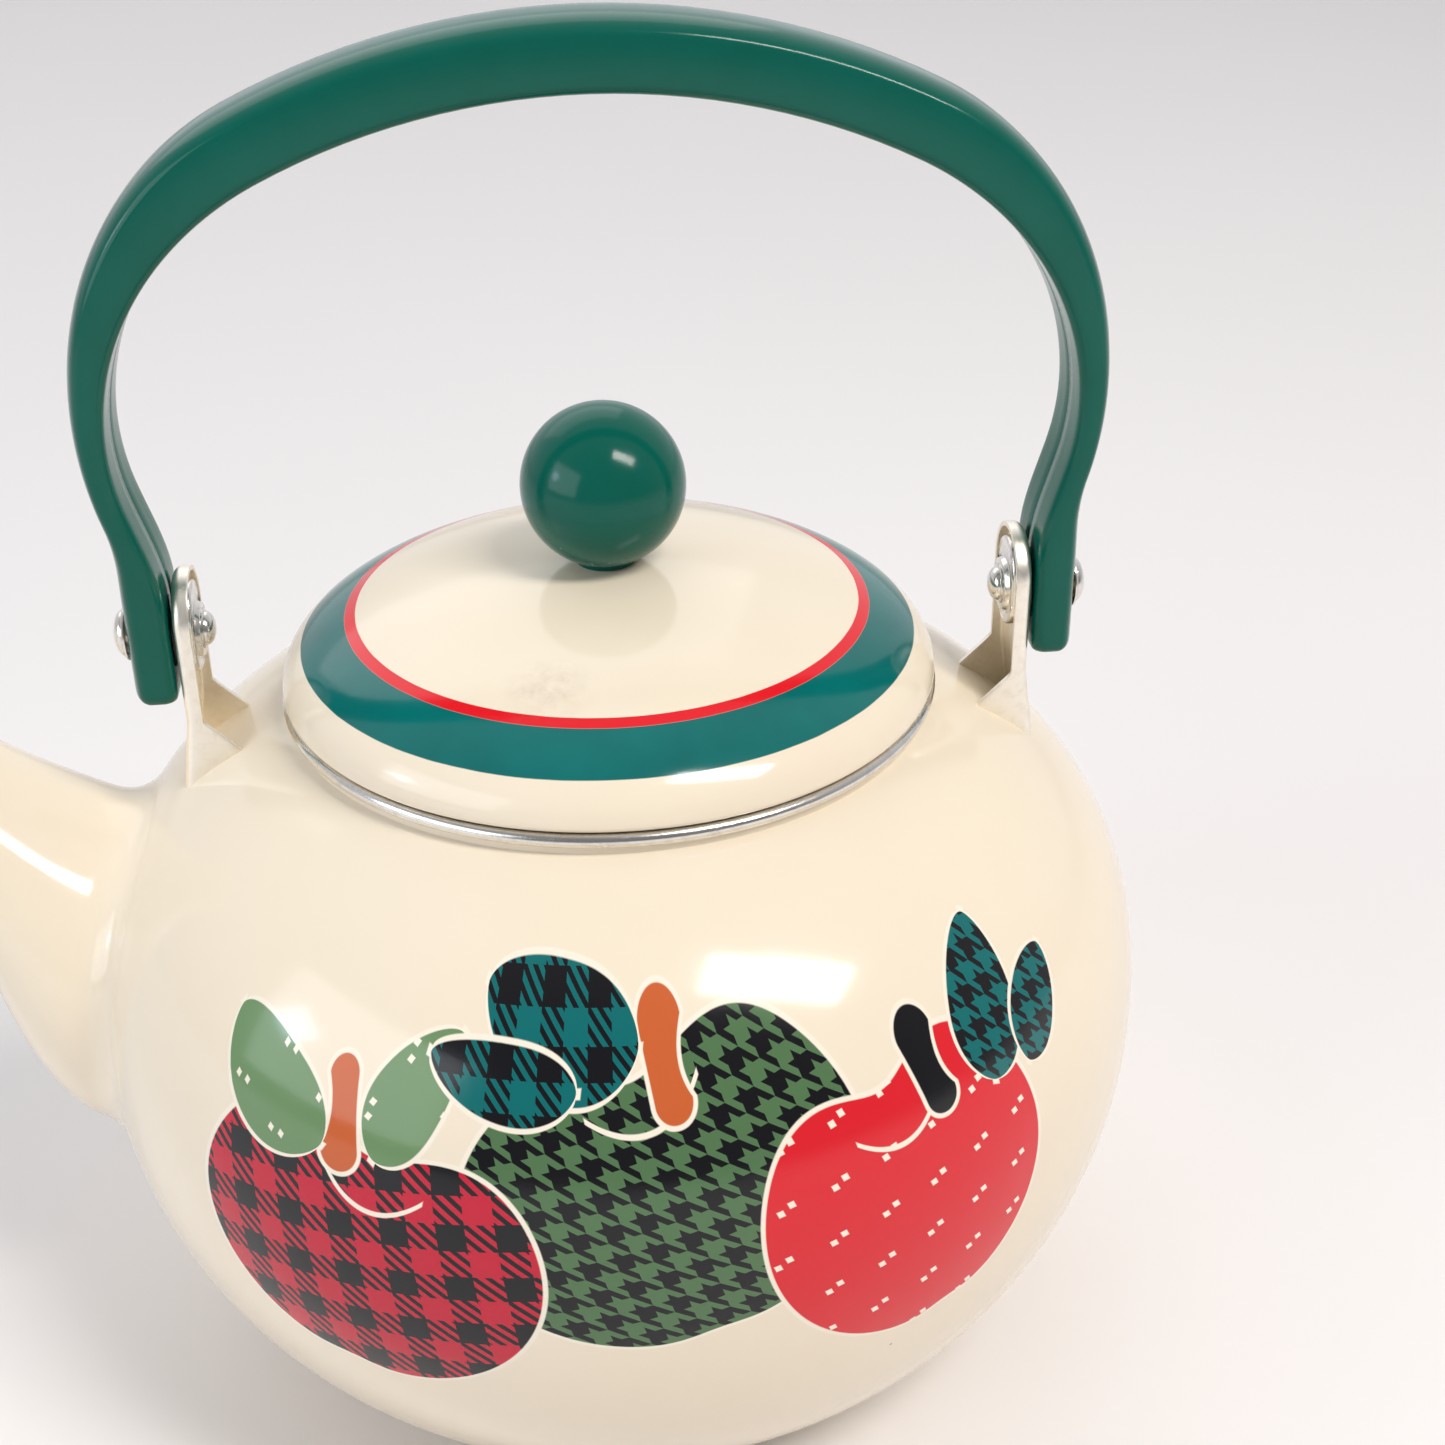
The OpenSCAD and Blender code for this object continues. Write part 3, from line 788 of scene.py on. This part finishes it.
def printed_enamel(name):
    """The body's enamel, with three plain fruit and their leaves printed on its front."""
    material, tree, shader = start(name)
    vector, (px, py, pz) = place_of(tree)
    x = px.math("ARCTAN2", py * -1.0) * PRINT_R
    y = pz - LID_Z
    colour = cream_base(vector)

    def lay(shape, ink, under):
        outlined = blend(shape.below(PRINT_RIM, PRINT_SOFT), under, CREAM_PRINT)
        return blend(shape.below(0.0, PRINT_SOFT), outlined, ink)

    for cx, cy, angle, half_w, half_h, dip, style, stroke in FRUITS:
        u, v = turned(x, y, cx, cy, angle)
        colour = lay(apple(u, v, half_w, half_h, dip), fruit_ink(style, x, y, u, v), colour)
        stroke_y, stroke_half, drop = stroke
        line = smile(u - SMILE_X, v - stroke_y, stroke_half, drop)
        colour = blend(line.below(0.0, PRINT_SOFT), colour, CREAM_PRINT)
    for cx, cy, angle, half_l, half_w, ink in STEMS:
        u, v = turned(x, y, cx, cy, angle)
        colour = lay(stem(u, v, half_l, half_w), ink, colour)
    for cx, cy, angle, half_l, half_w, style in LEAVES:
        u, v = turned(x, y, cx, cy, angle)
        colour = lay(leaf(u, v, half_l, half_w), leaf_ink(style, x, y, u, v), colour)

    enamel_finish(shader, vector, colour)
    return material


# ---- Materials ----

# Marks drawn along Z, or along X, and the height where the knob is chipped
DRAWN_UP = (1, 1, 0.05)
DRAWN_ALONG = (0.05, 1, 1)
KNOB_WORN_Z = LID_TOP + 2.2

print_mat = printed_enamel("enamel_printed")
cream_mat = plain_enamel("enamel_cream")
lid_mat = ringed_enamel("enamel_ringed")
green_mat = moulded("green_plastic", GREEN, GREEN_PALE)
knob_mat = moulded("green_knob", GREEN, GREEN_PALE, KNOB_WORN_Z)
steel_mat = metal("bright_steel", STEEL, STEEL_WORN, 0.10, DRAWN_UP)
satin_mat = metal("satin_steel", SATIN, SATIN_WORN, 0.28, DRAWN_UP)
brass_mat = metal("brass", BRASS, BRASS_WORN, 0.2, DRAWN_ALONG)
fibre_mat = fibre_board("dark_fibre")

# ---- Body ----


def body_profile():
    """Outside from the middle of the base up to the neck, then the inside back down."""
    edge_steps, lower_steps, upper_steps, inner_steps = 8, 30, 40, 24
    foot_r = body_radius(0) - BASE_EDGE
    side = body_radius(BASE_EDGE)
    pull = body_radius(0) + EDGE_BULGE
    points = [(0, DISH)]
    # the dish runs out to the foot: distance in from the foot, and share of the dish's height
    for inset, share in ((9, 1), (7, 0.8), (5, 0.2), (4, 0)):
        points.append((foot_r - inset, DISH * share))
    for i in range(edge_steps + 1):
        t = i / edge_steps
        r = (1 - t) ** 2 * foot_r + 2 * t * (1 - t) * pull + t * t * side
        points.append((r, t * t * BASE_EDGE))
    for i in range(1, lower_steps + 1):
        z = BASE_EDGE + (EQUATOR_Z - BASE_EDGE) * i / lower_steps
        points.append((body_radius(z), z))
    shoulder = body_height(MOUTH_R) - EQUATOR_Z
    for i in range(1, upper_steps + 1):
        z = EQUATOR_Z + shoulder * math.sin(math.pi / 2 * i / upper_steps)
        points.append((body_radius(z), z))
    points += [(MOUTH_R, NECK_TOP), (MOUTH_R - WALL, NECK_TOP)]
    inner_shoulder = body_height(MOUTH_R - WALL, WALL) - EQUATOR_Z
    for i in range(inner_steps, -1, -1):
        z = EQUATOR_Z + inner_shoulder * math.sin(math.pi / 2 * i / inner_steps)
        points.append((body_radius(z, WALL), z))
    for i in range(1, inner_steps + 1):
        z = EQUATOR_Z - (EQUATOR_Z - BASE_EDGE) * i / inner_steps
        points.append((body_radius(z, WALL), z))
    return points + [(foot_r - WALL / 2, WALL), (0, WALL + DISH)]


def cut_port(piece):
    """Cuts the round opening behind the spout."""
    # a closed tube from well inside the body to well outside it
    tube = []
    for x in (-BODY_R * 0.6, -BODY_R * 1.1):
        tube.append([(x, PORT_R * math.sin(a), ROOT_Z + PORT_R * math.cos(a)) for a in turns(72)])
    cutter = add_object("port_cutter", new_mesh("port_cutter", *skin_rings(tube, closed_ends=True)))
    hole = piece.modifiers.new("port", "BOOLEAN")
    hole.operation = "DIFFERENCE"
    hole.object = cutter
    bpy.context.view_layer.update()
    cut = bpy.data.meshes.new_from_object(piece.evaluated_get(bpy.context.evaluated_depsgraph_get()))
    piece.modifiers.clear()
    piece.data = cut
    bpy.data.objects.remove(cutter)
    cut.shade_smooth()
    cut.set_sharp_from_angle(angle=math.radians(35))


def plain_inside(piece):
    """Gives the faces that look towards the middle of the body the plain enamel."""
    piece.data.materials.append(cream_mat)
    middle = Vector((0, 0, EQUATOR_Z * MM))
    for face in piece.data.polygons:
        if face.normal.dot(face.center - middle) < 0:
            face.material_index = 1


def make_body():
    """The printed body, open at the mouth and behind the spout."""
    points, faces = revolve(body_profile(), ROUND)
    piece = add_mesh("body_enamel", points, faces, print_mat, "kettle", "body_shell", "enamel_cream")
    cut_port(piece)
    plain_inside(piece)


def make_mouth_rim():
    """A bead rolled over the neck, running into a strip inside the mouth."""
    under = -180 + math.degrees(math.acos((BEAD_RING_R - MOUTH_R) / BEAD_R))
    top = 180 - math.degrees(math.asin(FOLD_RISE))
    fold_z = BEAD_Z + FOLD_RISE * BEAD_R
    strip_z = BEAD_Z - STRIP_H
    chamfer = 0.2
    profile = arc(BEAD_RING_R, BEAD_Z, BEAD_R - SLACK / 2, under, top, 26)
    profile += arc(TRIM_R + FOLD_R, fold_z - FOLD_R, FOLD_R, 90, 180, 5)
    profile += [(TRIM_R, strip_z + chamfer), (TRIM_R + chamfer, strip_z), (TRIM_R + STRIP_T - 0.05, strip_z)]
    points, faces = revolve(profile, ROUND)
    add_mesh("mouth_bead", points, faces, steel_mat, "kettle", "mouth_rim", "bright_steel", sharp=50)


# ---- Spout ----


def bezier(controls, t):
    """A point of a cubic curve, t running from its first control point to its last."""
    s = 1 - t
    shares = (s ** 3, 3 * s * s * t, 3 * s * t * t, t ** 3)
    return [sum(share * point[k] for share, point in zip(shares, controls)) for k in (0, 1)]


def spout_point(t, a, skin):
    """A point of the spout's surface: t runs from root to outlet, a goes round from the top."""
    upper, lower = bezier(SPOUT_UPPER, t), bezier(SPOUT_LOWER, t)
    centre = ((upper[0] + lower[0]) / 2, (upper[1] + lower[1]) / 2)
    half = ((upper[0] - lower[0]) / 2, (upper[1] - lower[1]) / 2)
    size = math.hypot(*half)
    rolled = LIP * max(0.0, (t - LIP_START) / (1 - LIP_START)) ** 2
    grow = 1 + (rolled - skin) / size
    wide = size * (ROOT_SQUASH + (1 - ROOT_SQUASH) * t) + rolled - skin
    return Vector((
        centre[0] + half[0] * grow * math.cos(a),
        wide * math.sin(a),
        centre[1] + half[1] * grow * math.cos(a),
    ))


def outside_body(p):
    """Whether a point lies outside the body's surface."""
    return math.hypot(p.x, p.y) > body_radius(p.z)


def leaves_body(a, skin):
    """The t at which a line along the spout comes out of the body."""
    low, high = 0.0, 0.0
    while not outside_body(spout_point(high, a, skin)):
        low, high = high, high + 0.01
    for _ in range(30):
        middle = (low + high) / 2
        if outside_body(spout_point(middle, a, skin)):
            high = middle
        else:
            low = middle
    return high


def body_normal(p):
    """Outward direction of the body's surface near a point."""
    step = 0.05
    slope = (body_radius(p.z + step) - body_radius(p.z - step)) / (2 * step)
    r = math.hypot(p.x, p.y)
    return Vector((p.x / r, p.y / r, -slope)).normalized()


def onto_body(p, sink):
    """The point moved to the body's surface, a little below it."""
    for _ in range(4):
        n = body_normal(p)
        p = p - n * (math.hypot(p.x, p.y) - body_radius(p.z)) * math.hypot(n.x, n.y)
    return p - body_normal(p) * sink


def spout_line(a, end, steps):
    """One line of the spout's skin: soft foot on the body, outside, lip, then inside."""
    foot_steps, lip_steps = 10, 9
    t_meet = leaves_body(a, 0)
    meet = spout_point(t_meet, a, 0)
    t_clear = t_meet
    while (spout_point(t_clear, a, 0) - meet).length < FILLET:
        t_clear += 0.002
    clear = spout_point(t_clear, a, 0)
    # the foot runs over the body, away from the spout's middle and square to its line
    normal = body_normal(meet)
    ahead = spout_point(t_meet + 0.01, a, 0) - meet
    middle = (spout_point(t_meet, 0, 0) + spout_point(t_meet, math.pi, 0)) / 2
    away = meet - middle
    away -= away.dot(ahead) / ahead.length_squared * ahead
    away = (away - away.dot(normal) * normal).normalized()
    foot = onto_body(meet + away * FILLET, FILLET_SUNK)
    line = []
    for i in range(foot_steps):
        t = i / foot_steps
        line.append(foot * (1 - t) ** 2 + meet * 2 * t * (1 - t) + clear * t * t)
    for i in range(steps + 1):
        line.append(spout_point(t_clear + (end - t_clear) * i / steps, a, 0))
    outer, inner = spout_point(end, a, 0), spout_point(end, a, WALL)
    tip = (spout_point(end, a, WALL / 2) - spout_point(end - 0.01, a, WALL / 2)).normalized()
    rim, across = (outer + inner) / 2, (outer - inner) / 2
    for i in range(1, lip_steps):
        b = math.pi * i / lip_steps
        line.append(rim + across * math.cos(b) + tip * across.length * math.sin(b))
    t_inside = leaves_body(a, WALL)
    for i in range(steps + 1):
        line.append(spout_point(end + (t_inside - end) * i / steps, a, WALL))
    return line


def spout_end():
    """The t where the skin turns in, so that its round lip still ends short of the outlet."""
    step = 0.1
    last = spout_point(1, math.pi, 0) - spout_point(1 - step, math.pi, 0)
    return 1 - LIP_BACK / last.length * step


def make_spout():
    """A tapering tube with a soft foot on the body and a rolled lip."""
    skin = [spout_line(a, spout_end(), 44) for a in turns(96)]
    rings = [[line[j] for line in skin] for j in range(len(skin[0]))]
    points, faces = skin_rings(rings)
    add_mesh("spout_enamel", points, faces, cream_mat, "kettle", "spout", "enamel_cream")


# ---- Lid and knob ----


def make_lid():
    """The dome from the middle of its inside, round the rolled hem, to the middle of its top."""
    inner_steps, outer_steps = 25, 48
    hem_start = 100
    inside_r, inside_h = LID_R - LID_WALL, LID_H - LID_WALL
    profile = [(0, LID_Z + inside_h)]
    for i in range(inner_steps - 1, 0, -1):
        z = max(HEM_R, inside_h * math.sin(math.pi / 2 * i / inner_steps))
        profile.append((reach_at(z, inside_r, inside_h, LID_POWER), LID_Z + z))
    profile += arc(LID_R - HEM_R, LID_Z, HEM_R, hem_start, 360, 22)
    for i in range(1, outer_steps + 1):
        z = LID_H * math.sin(math.pi / 2 * i / outer_steps)
        profile.append((reach_at(z, LID_R, LID_H, LID_POWER), LID_Z + z))
    points, faces = revolve(profile, ROUND)
    add_mesh("lid_enamel", points, faces, lid_mat, "lid", "lid_shell", "enamel_cream", sharp=60)


def make_knob():
    """A ball on a small flat foot, with a bore for its threaded insert."""
    chamfer = 0.3
    bore_r, bore_top = insert_high.x, insert_high.z
    foot_z = lid_height(KNOB_FOOT_R)
    foot_angle = -math.degrees(math.acos(KNOB_FOOT_R / KNOB_R))
    profile = [(0, bore_top), (bore_r, bore_top), (bore_r, lid_height(bore_r) + SLACK)]
    profile += [(KNOB_FOOT_R - chamfer, foot_z + SLACK), (KNOB_FOOT_R, foot_z + chamfer)]
    profile += arc(0, KNOB_Z, KNOB_R, foot_angle, 90, 60)
    points, faces = revolve(profile, 96)
    add_mesh("knob_ball", points, faces, knob_mat, "lid", "knob", "green_plastic", sharp=50)


# ---- Brackets ----


def body_side_x(z, y):
    """How far out the body's surface is at a height, y off the middle."""
    return math.sqrt(max(0.0, body_radius(z) ** 2 - y * y))


def web_face(z):
    """How far out the web's face is: upright above the notch, leaning out below it."""
    return BRACKET_X + FOOT_LEAN * max(0.0, NOTCH_Z - z)


def bracket_row(y, z, ny, nz):
    """Half a cross-section from the web's edge to the rim's edge, at a point of the outline."""
    bend_steps, rim_steps = 5, 6
    row = []
    face = web_face(z)
    for i in range(bend_steps + 1):
        a = math.pi / 2 * i / bend_steps
        inset = BEND_R * (1 - math.sin(a))
        row.append((face - BEND_R * (1 - math.cos(a)), y - ny * inset, z - nz * inset))
    start_x = face - BEND_R
    edge_x = BRACKET_X - RIM_DEPTH - max(0.0, NOTCH_Z - z)
    end_x = max(edge_x, min(body_side_x(z, y) - RIM_SUNK, start_x))
    for i in range(1, rim_steps + 1):
        row.append((start_x + (end_x - start_x) * i / rim_steps, y, z))
    return row


def bracket_mesh():
    """The right bracket's outer skin, row by row from its foot to the middle of its round top."""
    side_steps, top_steps, columns = 40, 16, 10
    half = TONGUE_W / 2
    peak = TONGUE_TOP - half
    foot = body_height(web_face(body_height(BRACKET_X))) - FOOT_SUNK
    # points of the outline, as y, z and the direction outwards
    stations = []
    for i in range(side_steps):
        stations.append((half, foot + (peak - foot) * i / side_steps, 1.0, 0.0))
    for i in range(top_steps + 1):
        a = math.pi / 2 * i / top_steps
        stations.append((half * math.cos(a), peak + half * math.sin(a), math.cos(a), math.sin(a)))
    rows = []
    for y, z, ny, nz in stations:
        right = bracket_row(y, z, ny, nz)
        left = [(px, -py, pz) for px, py, pz in reversed(right)]
        edge = right[0]
        web = [(edge[0], edge[1] * (2 * c / columns - 1), edge[2]) for c in range(1, columns)]
        rows.append(left + web + right)
    return skin_rings(rows, around=False)


def weld(piece, distance):
    """Joins points that lie on each other."""
    mesh = bmesh.new()
    mesh.from_mesh(piece.data)
    bmesh.ops.remove_doubles(mesh, verts=mesh.verts, dist=distance * MM)
    mesh.to_mesh(piece.data)
    mesh.free()


def make_brackets():
    """Bent sheet given its thickness inwards, with slightly softened edges."""
    for side, s in SIDES:
        points, faces = on_side(*bracket_mesh(), s)
        node = "bracket_" + side
        piece = add_mesh("bracket_sheet_" + side, points, faces, satin_mat, "kettle", node, "bright_steel")
        weld(piece, 0.01)
        thick = piece.modifiers.new("sheet", "SOLIDIFY")
        thick.thickness = SHEET * MM
        thick.offset = -1
        thick.use_even_offset = True
        soft = piece.modifiers.new("edges", "BEVEL")
        soft.width = 0.16 * MM
        soft.segments = 2
        soft.limit_method = "ANGLE"
        soft.angle_limit = math.radians(60)


def stadium_reach(a, low, high, half):
    """Distance from the pivot to the backing plate's outline at an angle from straight up."""
    near, far = 0.0, high + half
    y, z = math.sin(a), math.cos(a)
    for _ in range(40):
        middle = (near + far) / 2
        py, pz = middle * y, middle * z
        if math.hypot(py, pz - min(high, max(low, pz))) < half:
            near = middle
        else:
            far = middle
    return near


def make_backing_plates():
    """Oblong plates raised in a step under the rivet's inner head."""
    half = (plate_high.y - plate_low.y) / 2
    low, high = plate_low.z + half - PIVOT_Z, plate_high.z - half - PIVOT_Z
    face_x, front_x = plate_high.x - PLATE_T, plate_low.x
    rings = []
    # each ring: X, radius, share of the way from there to the outline, and distance back from it
    for x, r, share, back in (
        (front_x, PLATE_HOLE_R, 0, 0),
        (front_x, STEP_R - 0.40, 0, 0),
        (front_x + 0.05, STEP_R - 0.32, 0, 0),
        (face_x - 0.1, STEP_R - 0.08, 0, 0),
        (face_x, STEP_R, 0, 0),
        (face_x + 0.12, STEP_R, 0.5, 0),
        (face_x + 0.1, STEP_R, 0.8, 0.1),
        (face_x, STEP_R, 1, 0.6),
        (face_x + 0.1, STEP_R, 1, 0.25),
        (face_x + 0.35, STEP_R, 1, 0.05),
        (face_x + PLATE_T - SLACK, STEP_R, 1, 0),
    ):
        ring = []
        for a in turns(64):
            out = r + (stadium_reach(a, low, high, half) - back - r) * share
            ring.append((x, out * math.sin(a), PIVOT_Z + out * math.cos(a)))
        rings.append(ring)
    points, faces = skin_rings(rings)
    for side, s in SIDES:
        name, node = "plate_dished_" + side, "backing_plate_" + side
        add_mesh(name, *on_side(points, faces, s), steel_mat, "kettle", node, "bright_steel", sharp=60)


def head_dome(r, foot_x, tip_x):
    """A rivet head's dome from near its tip down to its flange, as radius and place along X."""
    steps = 9
    dome = []
    for i in range(1, steps + 1):
        a = math.pi / 2 * i / steps
        dome.append((r * math.sin(a), foot_x + (tip_x - foot_x) * math.cos(a)))
    return dome


def make_rivets():
    """Shank with a domed head on a thin flange at each end."""
    inner_face = rivet_low.x + INNER_HEAD_H
    outer_face = rivet_high.x - OUTER_HEAD_H
    outer_r = OUTER_HEAD_R - SLACK
    profile = [(0, rivet_low.x)]
    profile += head_dome(INNER_HEAD_R - 0.6, inner_face - 0.45, rivet_low.x)
    profile += [
        (INNER_HEAD_R - 0.25, inner_face - 0.42),
        (INNER_HEAD_R, inner_face - 0.2),
        (INNER_HEAD_R, inner_face),
        (SHANK_R, inner_face),
        (SHANK_R, outer_face),
        (outer_r, outer_face),
        (outer_r, outer_face + 0.25),
        (OUTER_HEAD_R - 0.3, outer_face + 0.5),
    ]
    profile += reversed(head_dome(OUTER_HEAD_R - 0.75, outer_face + 0.55, rivet_high.x))
    profile.append((0, rivet_high.x))
    points, faces = revolve(profile, 64)
    points = [(z, y, PIVOT_Z - x) for x, y, z in points]
    for side, s in SIDES:
        name, node = "rivet_domed_" + side, "rivet_" + side
        add_mesh(name, *on_side(points, faces, s), steel_mat, "kettle", node, "bright_steel", sharp=45)


# ---- Handle ----

# The steepest direction, where shoulder and waist meet, and the crown that spans what they leave
FALL = 90 + WAIST_ANGLE
SHOULDER_OUT = SHOULDER_R * (1 - sin_d(CROWN_ANGLE))
WAIST_IN = (SHOULDER_R + WAIST_R) * (1 - cos_d(WAIST_ANGLE))
CROWN_R = (HANDLE_X - SHOULDER_OUT + WAIST_IN) / sin_d(CROWN_ANGLE)
CROWN_Z = HANDLE_TOP - GRIP_T / 2


def half_handle():
    """Stations from the crown to one end: x, z, direction below horizontal, thickness, inset."""
    crown_steps, shoulder_steps, waist_steps = 14, 40, 16
    end_z = PIVOT_Z - STRAIGHT_BELOW
    stations = []
    for i in range(1, crown_steps + 1):
        a = CROWN_ANGLE * i / crown_steps
        stations.append((CROWN_R * sin_d(a), CROWN_Z - CROWN_R * (1 - cos_d(a)), a, GRIP_T, 0))
    x0, z0 = stations[-1][:2]
    for i in range(1, shoulder_steps + 1):
        a = CROWN_ANGLE + (FALL - CROWN_ANGLE) * i / shoulder_steps
        t = swell(GRIP_T, WAIST_T, (a - CROWN_ANGLE) / (TAPER_END - CROWN_ANGLE))
        x = x0 + SHOULDER_R * (sin_d(a) - sin_d(CROWN_ANGLE))
        stations.append((x, z0 - SHOULDER_R * (cos_d(CROWN_ANGLE) - cos_d(a)), a, t, 0))
    for i in range(waist_steps - 1, -1, -1):
        a = WAIST_ANGLE * i / waist_steps
        x = HANDLE_X + WAIST_R * (1 - cos_d(a))
        z = PIVOT_Z + STRAIGHT_ABOVE + WAIST_R * sin_d(a)
        stations.append((x, z, 90 + a, swell(END_T, WAIST_T, a / WAIST_ANGLE), 0))
    for above_end in (12, 8, 4):
        stations.append((HANDLE_X, end_z + above_end, 90, END_T, 0))
    for a in (0, 15, 30, 45, 60, 75, 90):
        inset = END_INSET * (1 - cos_d(a))
        stations.append((HANDLE_X, end_z + END_ROUND * (1 - sin_d(a)), 90, END_T, inset))
    return stations


def handle_section(thick, wide):
    """Outwards through the thickness and front to back: a crowned outside, and a seam inside."""
    r = min(EDGE_R, EDGE_SHARE * thick)
    depth = min(CROWN_DEPTH, EDGE_SHARE * thick)
    spread = CROWN_SHARE * wide
    x, y = thick / 2 - depth, wide / 2 - r
    outer_y = wide / 2 - spread
    # each corner: centre, its size through and across the thickness, and the angle it begins at
    corners = (
        (x, outer_y, depth, spread, 0),
        (r - thick / 2, y, r, r, 90),
        (r - thick / 2, -y, r, r, 180),
        (x, -outer_y, depth, spread, 270),
    )
    # half of the inner face, from its edge to the seam: how far off the middle, and how deep
    inner = [(0.75 * y, 0), (0.4 * y, 0), (SEAM_EDGE, 0), (SEAM_BOTTOM, SEAM_DEPTH)]
    section = []
    for cx, cy, deep, across, begin in corners:
        for i in range(CORNER_STEPS + 1):
            a = begin + 90 * i / CORNER_STEPS
            section.append((cx + deep * cos_d(a), cy + across * sin_d(a)))
        if begin == 90:
            section += [(sunk - thick / 2, off) for off, sunk in inner]
            section += [(sunk - thick / 2, -off) for off, sunk in reversed(inner)]
    return section


def make_handle():
    """The section swept from one end over the crown to the other."""
    half = half_handle()
    stations = [(s, -1) for s in reversed(half)]
    stations.append(((0, CROWN_Z, 0, GRIP_T, 0), 1))
    stations += [(s, 1) for s in half]
    rings = []
    for (x, z, a, thick, inset), side in stations:
        ring = []
        for q, y in handle_section(thick - inset, HANDLE_W - 2 * inset):
            ring.append((side * (x + q * sin_d(a)), y, z + q * cos_d(a)))
        rings.append(ring)
    points, faces = skin_rings(rings, closed_ends=True)
    faces = [tuple(reversed(f)) for f in faces]
    add_mesh("handle_bail", points, faces, green_mat, "handle", "handle", "green_plastic", sharp=60)


make_body()
make_mouth_rim()
make_spout()
make_lid()
make_knob()
make_brackets()
make_backing_plates()
make_rivets()
make_handle()

# CAD nodes that stay as they are, with their finishes
CAD_LOOKS = {
    "spacer_left": fibre_mat,
    "spacer_right": fibre_mat,
    "pivot_bush_left": brass_mat,
    "pivot_bush_right": brass_mat,
    "lid_collar": cream_mat,
    "knob_insert": brass_mat,
    "knob_washer": steel_mat,
    "knob_screw": steel_mat,
}
for node_name, look in CAD_LOOKS.items():
    node = frame["nodes"][node_name]
    node.data.materials.clear()
    node.data.materials.append(look)

# ---- Floor, lights and air ----


def add_floor():
    """A wide pale floor just under the kettle."""
    far = 6000.0
    corners = [(-far, -far, 0), (far, -far, 0), (far, far, 0), (-far, far, 0)]
    floor = add_object("floor", new_mesh("floor", corners, [(0, 1, 2, 3)]))
    floor.location.z = -0.2 * MM
    material, tree, shader = start("floor")
    coordinates = tree.nodes.new("ShaderNodeTexCoord")
    clouds = noise(Term(tree, coordinates.outputs["Object"]), 0.35, 3)
    feed(tree, shader.inputs["Base Color"], blend(clouds, FLOOR_DARK, FLOOR_PALE))
    shader.inputs["Roughness"].default_value = 0.55
    floor.data.materials.append(material)


def add_area(name, direction, distance, size, power, colour, wide=(1, 0, 0)):
    """An area light that faces the kettle from a direction, its width along a given line."""
    aim = Vector((0, 0, 0.09))
    back = Vector(direction).normalized()
    data = bpy.data.lights.new(name, "AREA")
    data.shape = "RECTANGLE"
    data.size, data.size_y = size
    data.energy = power
    data.color = colour
    light = add_object(name, data)
    side = Vector(wide)
    side = (side - side.dot(back) * back).normalized()
    light.matrix_world = placed(side, back.cross(side), back, aim + back * distance)


def add_lights():
    """A warm key from the right, a weak cool light, and large soft ones from the left and behind."""
    add_area(
        "key", direction=(0.43, -0.43, 0.79), distance=1.6, size=(0.76, 0.30),
        power=17.5, colour=(1.0, 0.965, 0.93), wide=(0.49, 0.0, -0.25),
    )
    add_area(
        "cool", direction=(-0.91, -0.22, 0.36), distance=1.5, size=(0.22, 0.22),
        power=1.2, colour=(0.62, 0.78, 1.0),
    )
    add_area(
        "fill", direction=(-0.85, -0.45, 0.35), distance=1.9, size=(1.5, 1.1),
        power=13, colour=(0.90, 0.95, 1.0), wide=(0.45, -0.85, 0.0),
    )
    add_area(
        "overhead", direction=(-0.25, 0.90, 0.80), distance=2.1, size=(2.2, 1.2),
        power=6.5, colour=(1.0, 0.975, 0.965),
    )


# Strength of the air at the sides, how it grows towards the back, and the least in front
AIR_LEVEL, AIR_SLOPE, AIR_LEAST = 0.50, 0.44, 0.22


def add_air():
    """Air that is bright behind the kettle and dim in front of it."""
    world = bpy.data.worlds.new("air")
    world.use_nodes = True
    tree = world.node_tree
    sky = tree.nodes["Background"]
    sky.inputs["Color"].default_value = SKY
    coordinates = tree.nodes.new("ShaderNodeTexCoord")
    split = tree.nodes.new("ShaderNodeSeparateXYZ")
    tree.links.new(coordinates.outputs["Generated"], split.inputs[0])
    back = Term(tree, split.outputs["Y"])
    feed(tree, sky.inputs["Strength"], (back * AIR_SLOPE + AIR_LEVEL).most(AIR_LEAST))
    bpy.context.scene.world = world


add_floor()
add_lights()
add_air()
bpy.context.scene.view_settings.view_transform = "Standard"
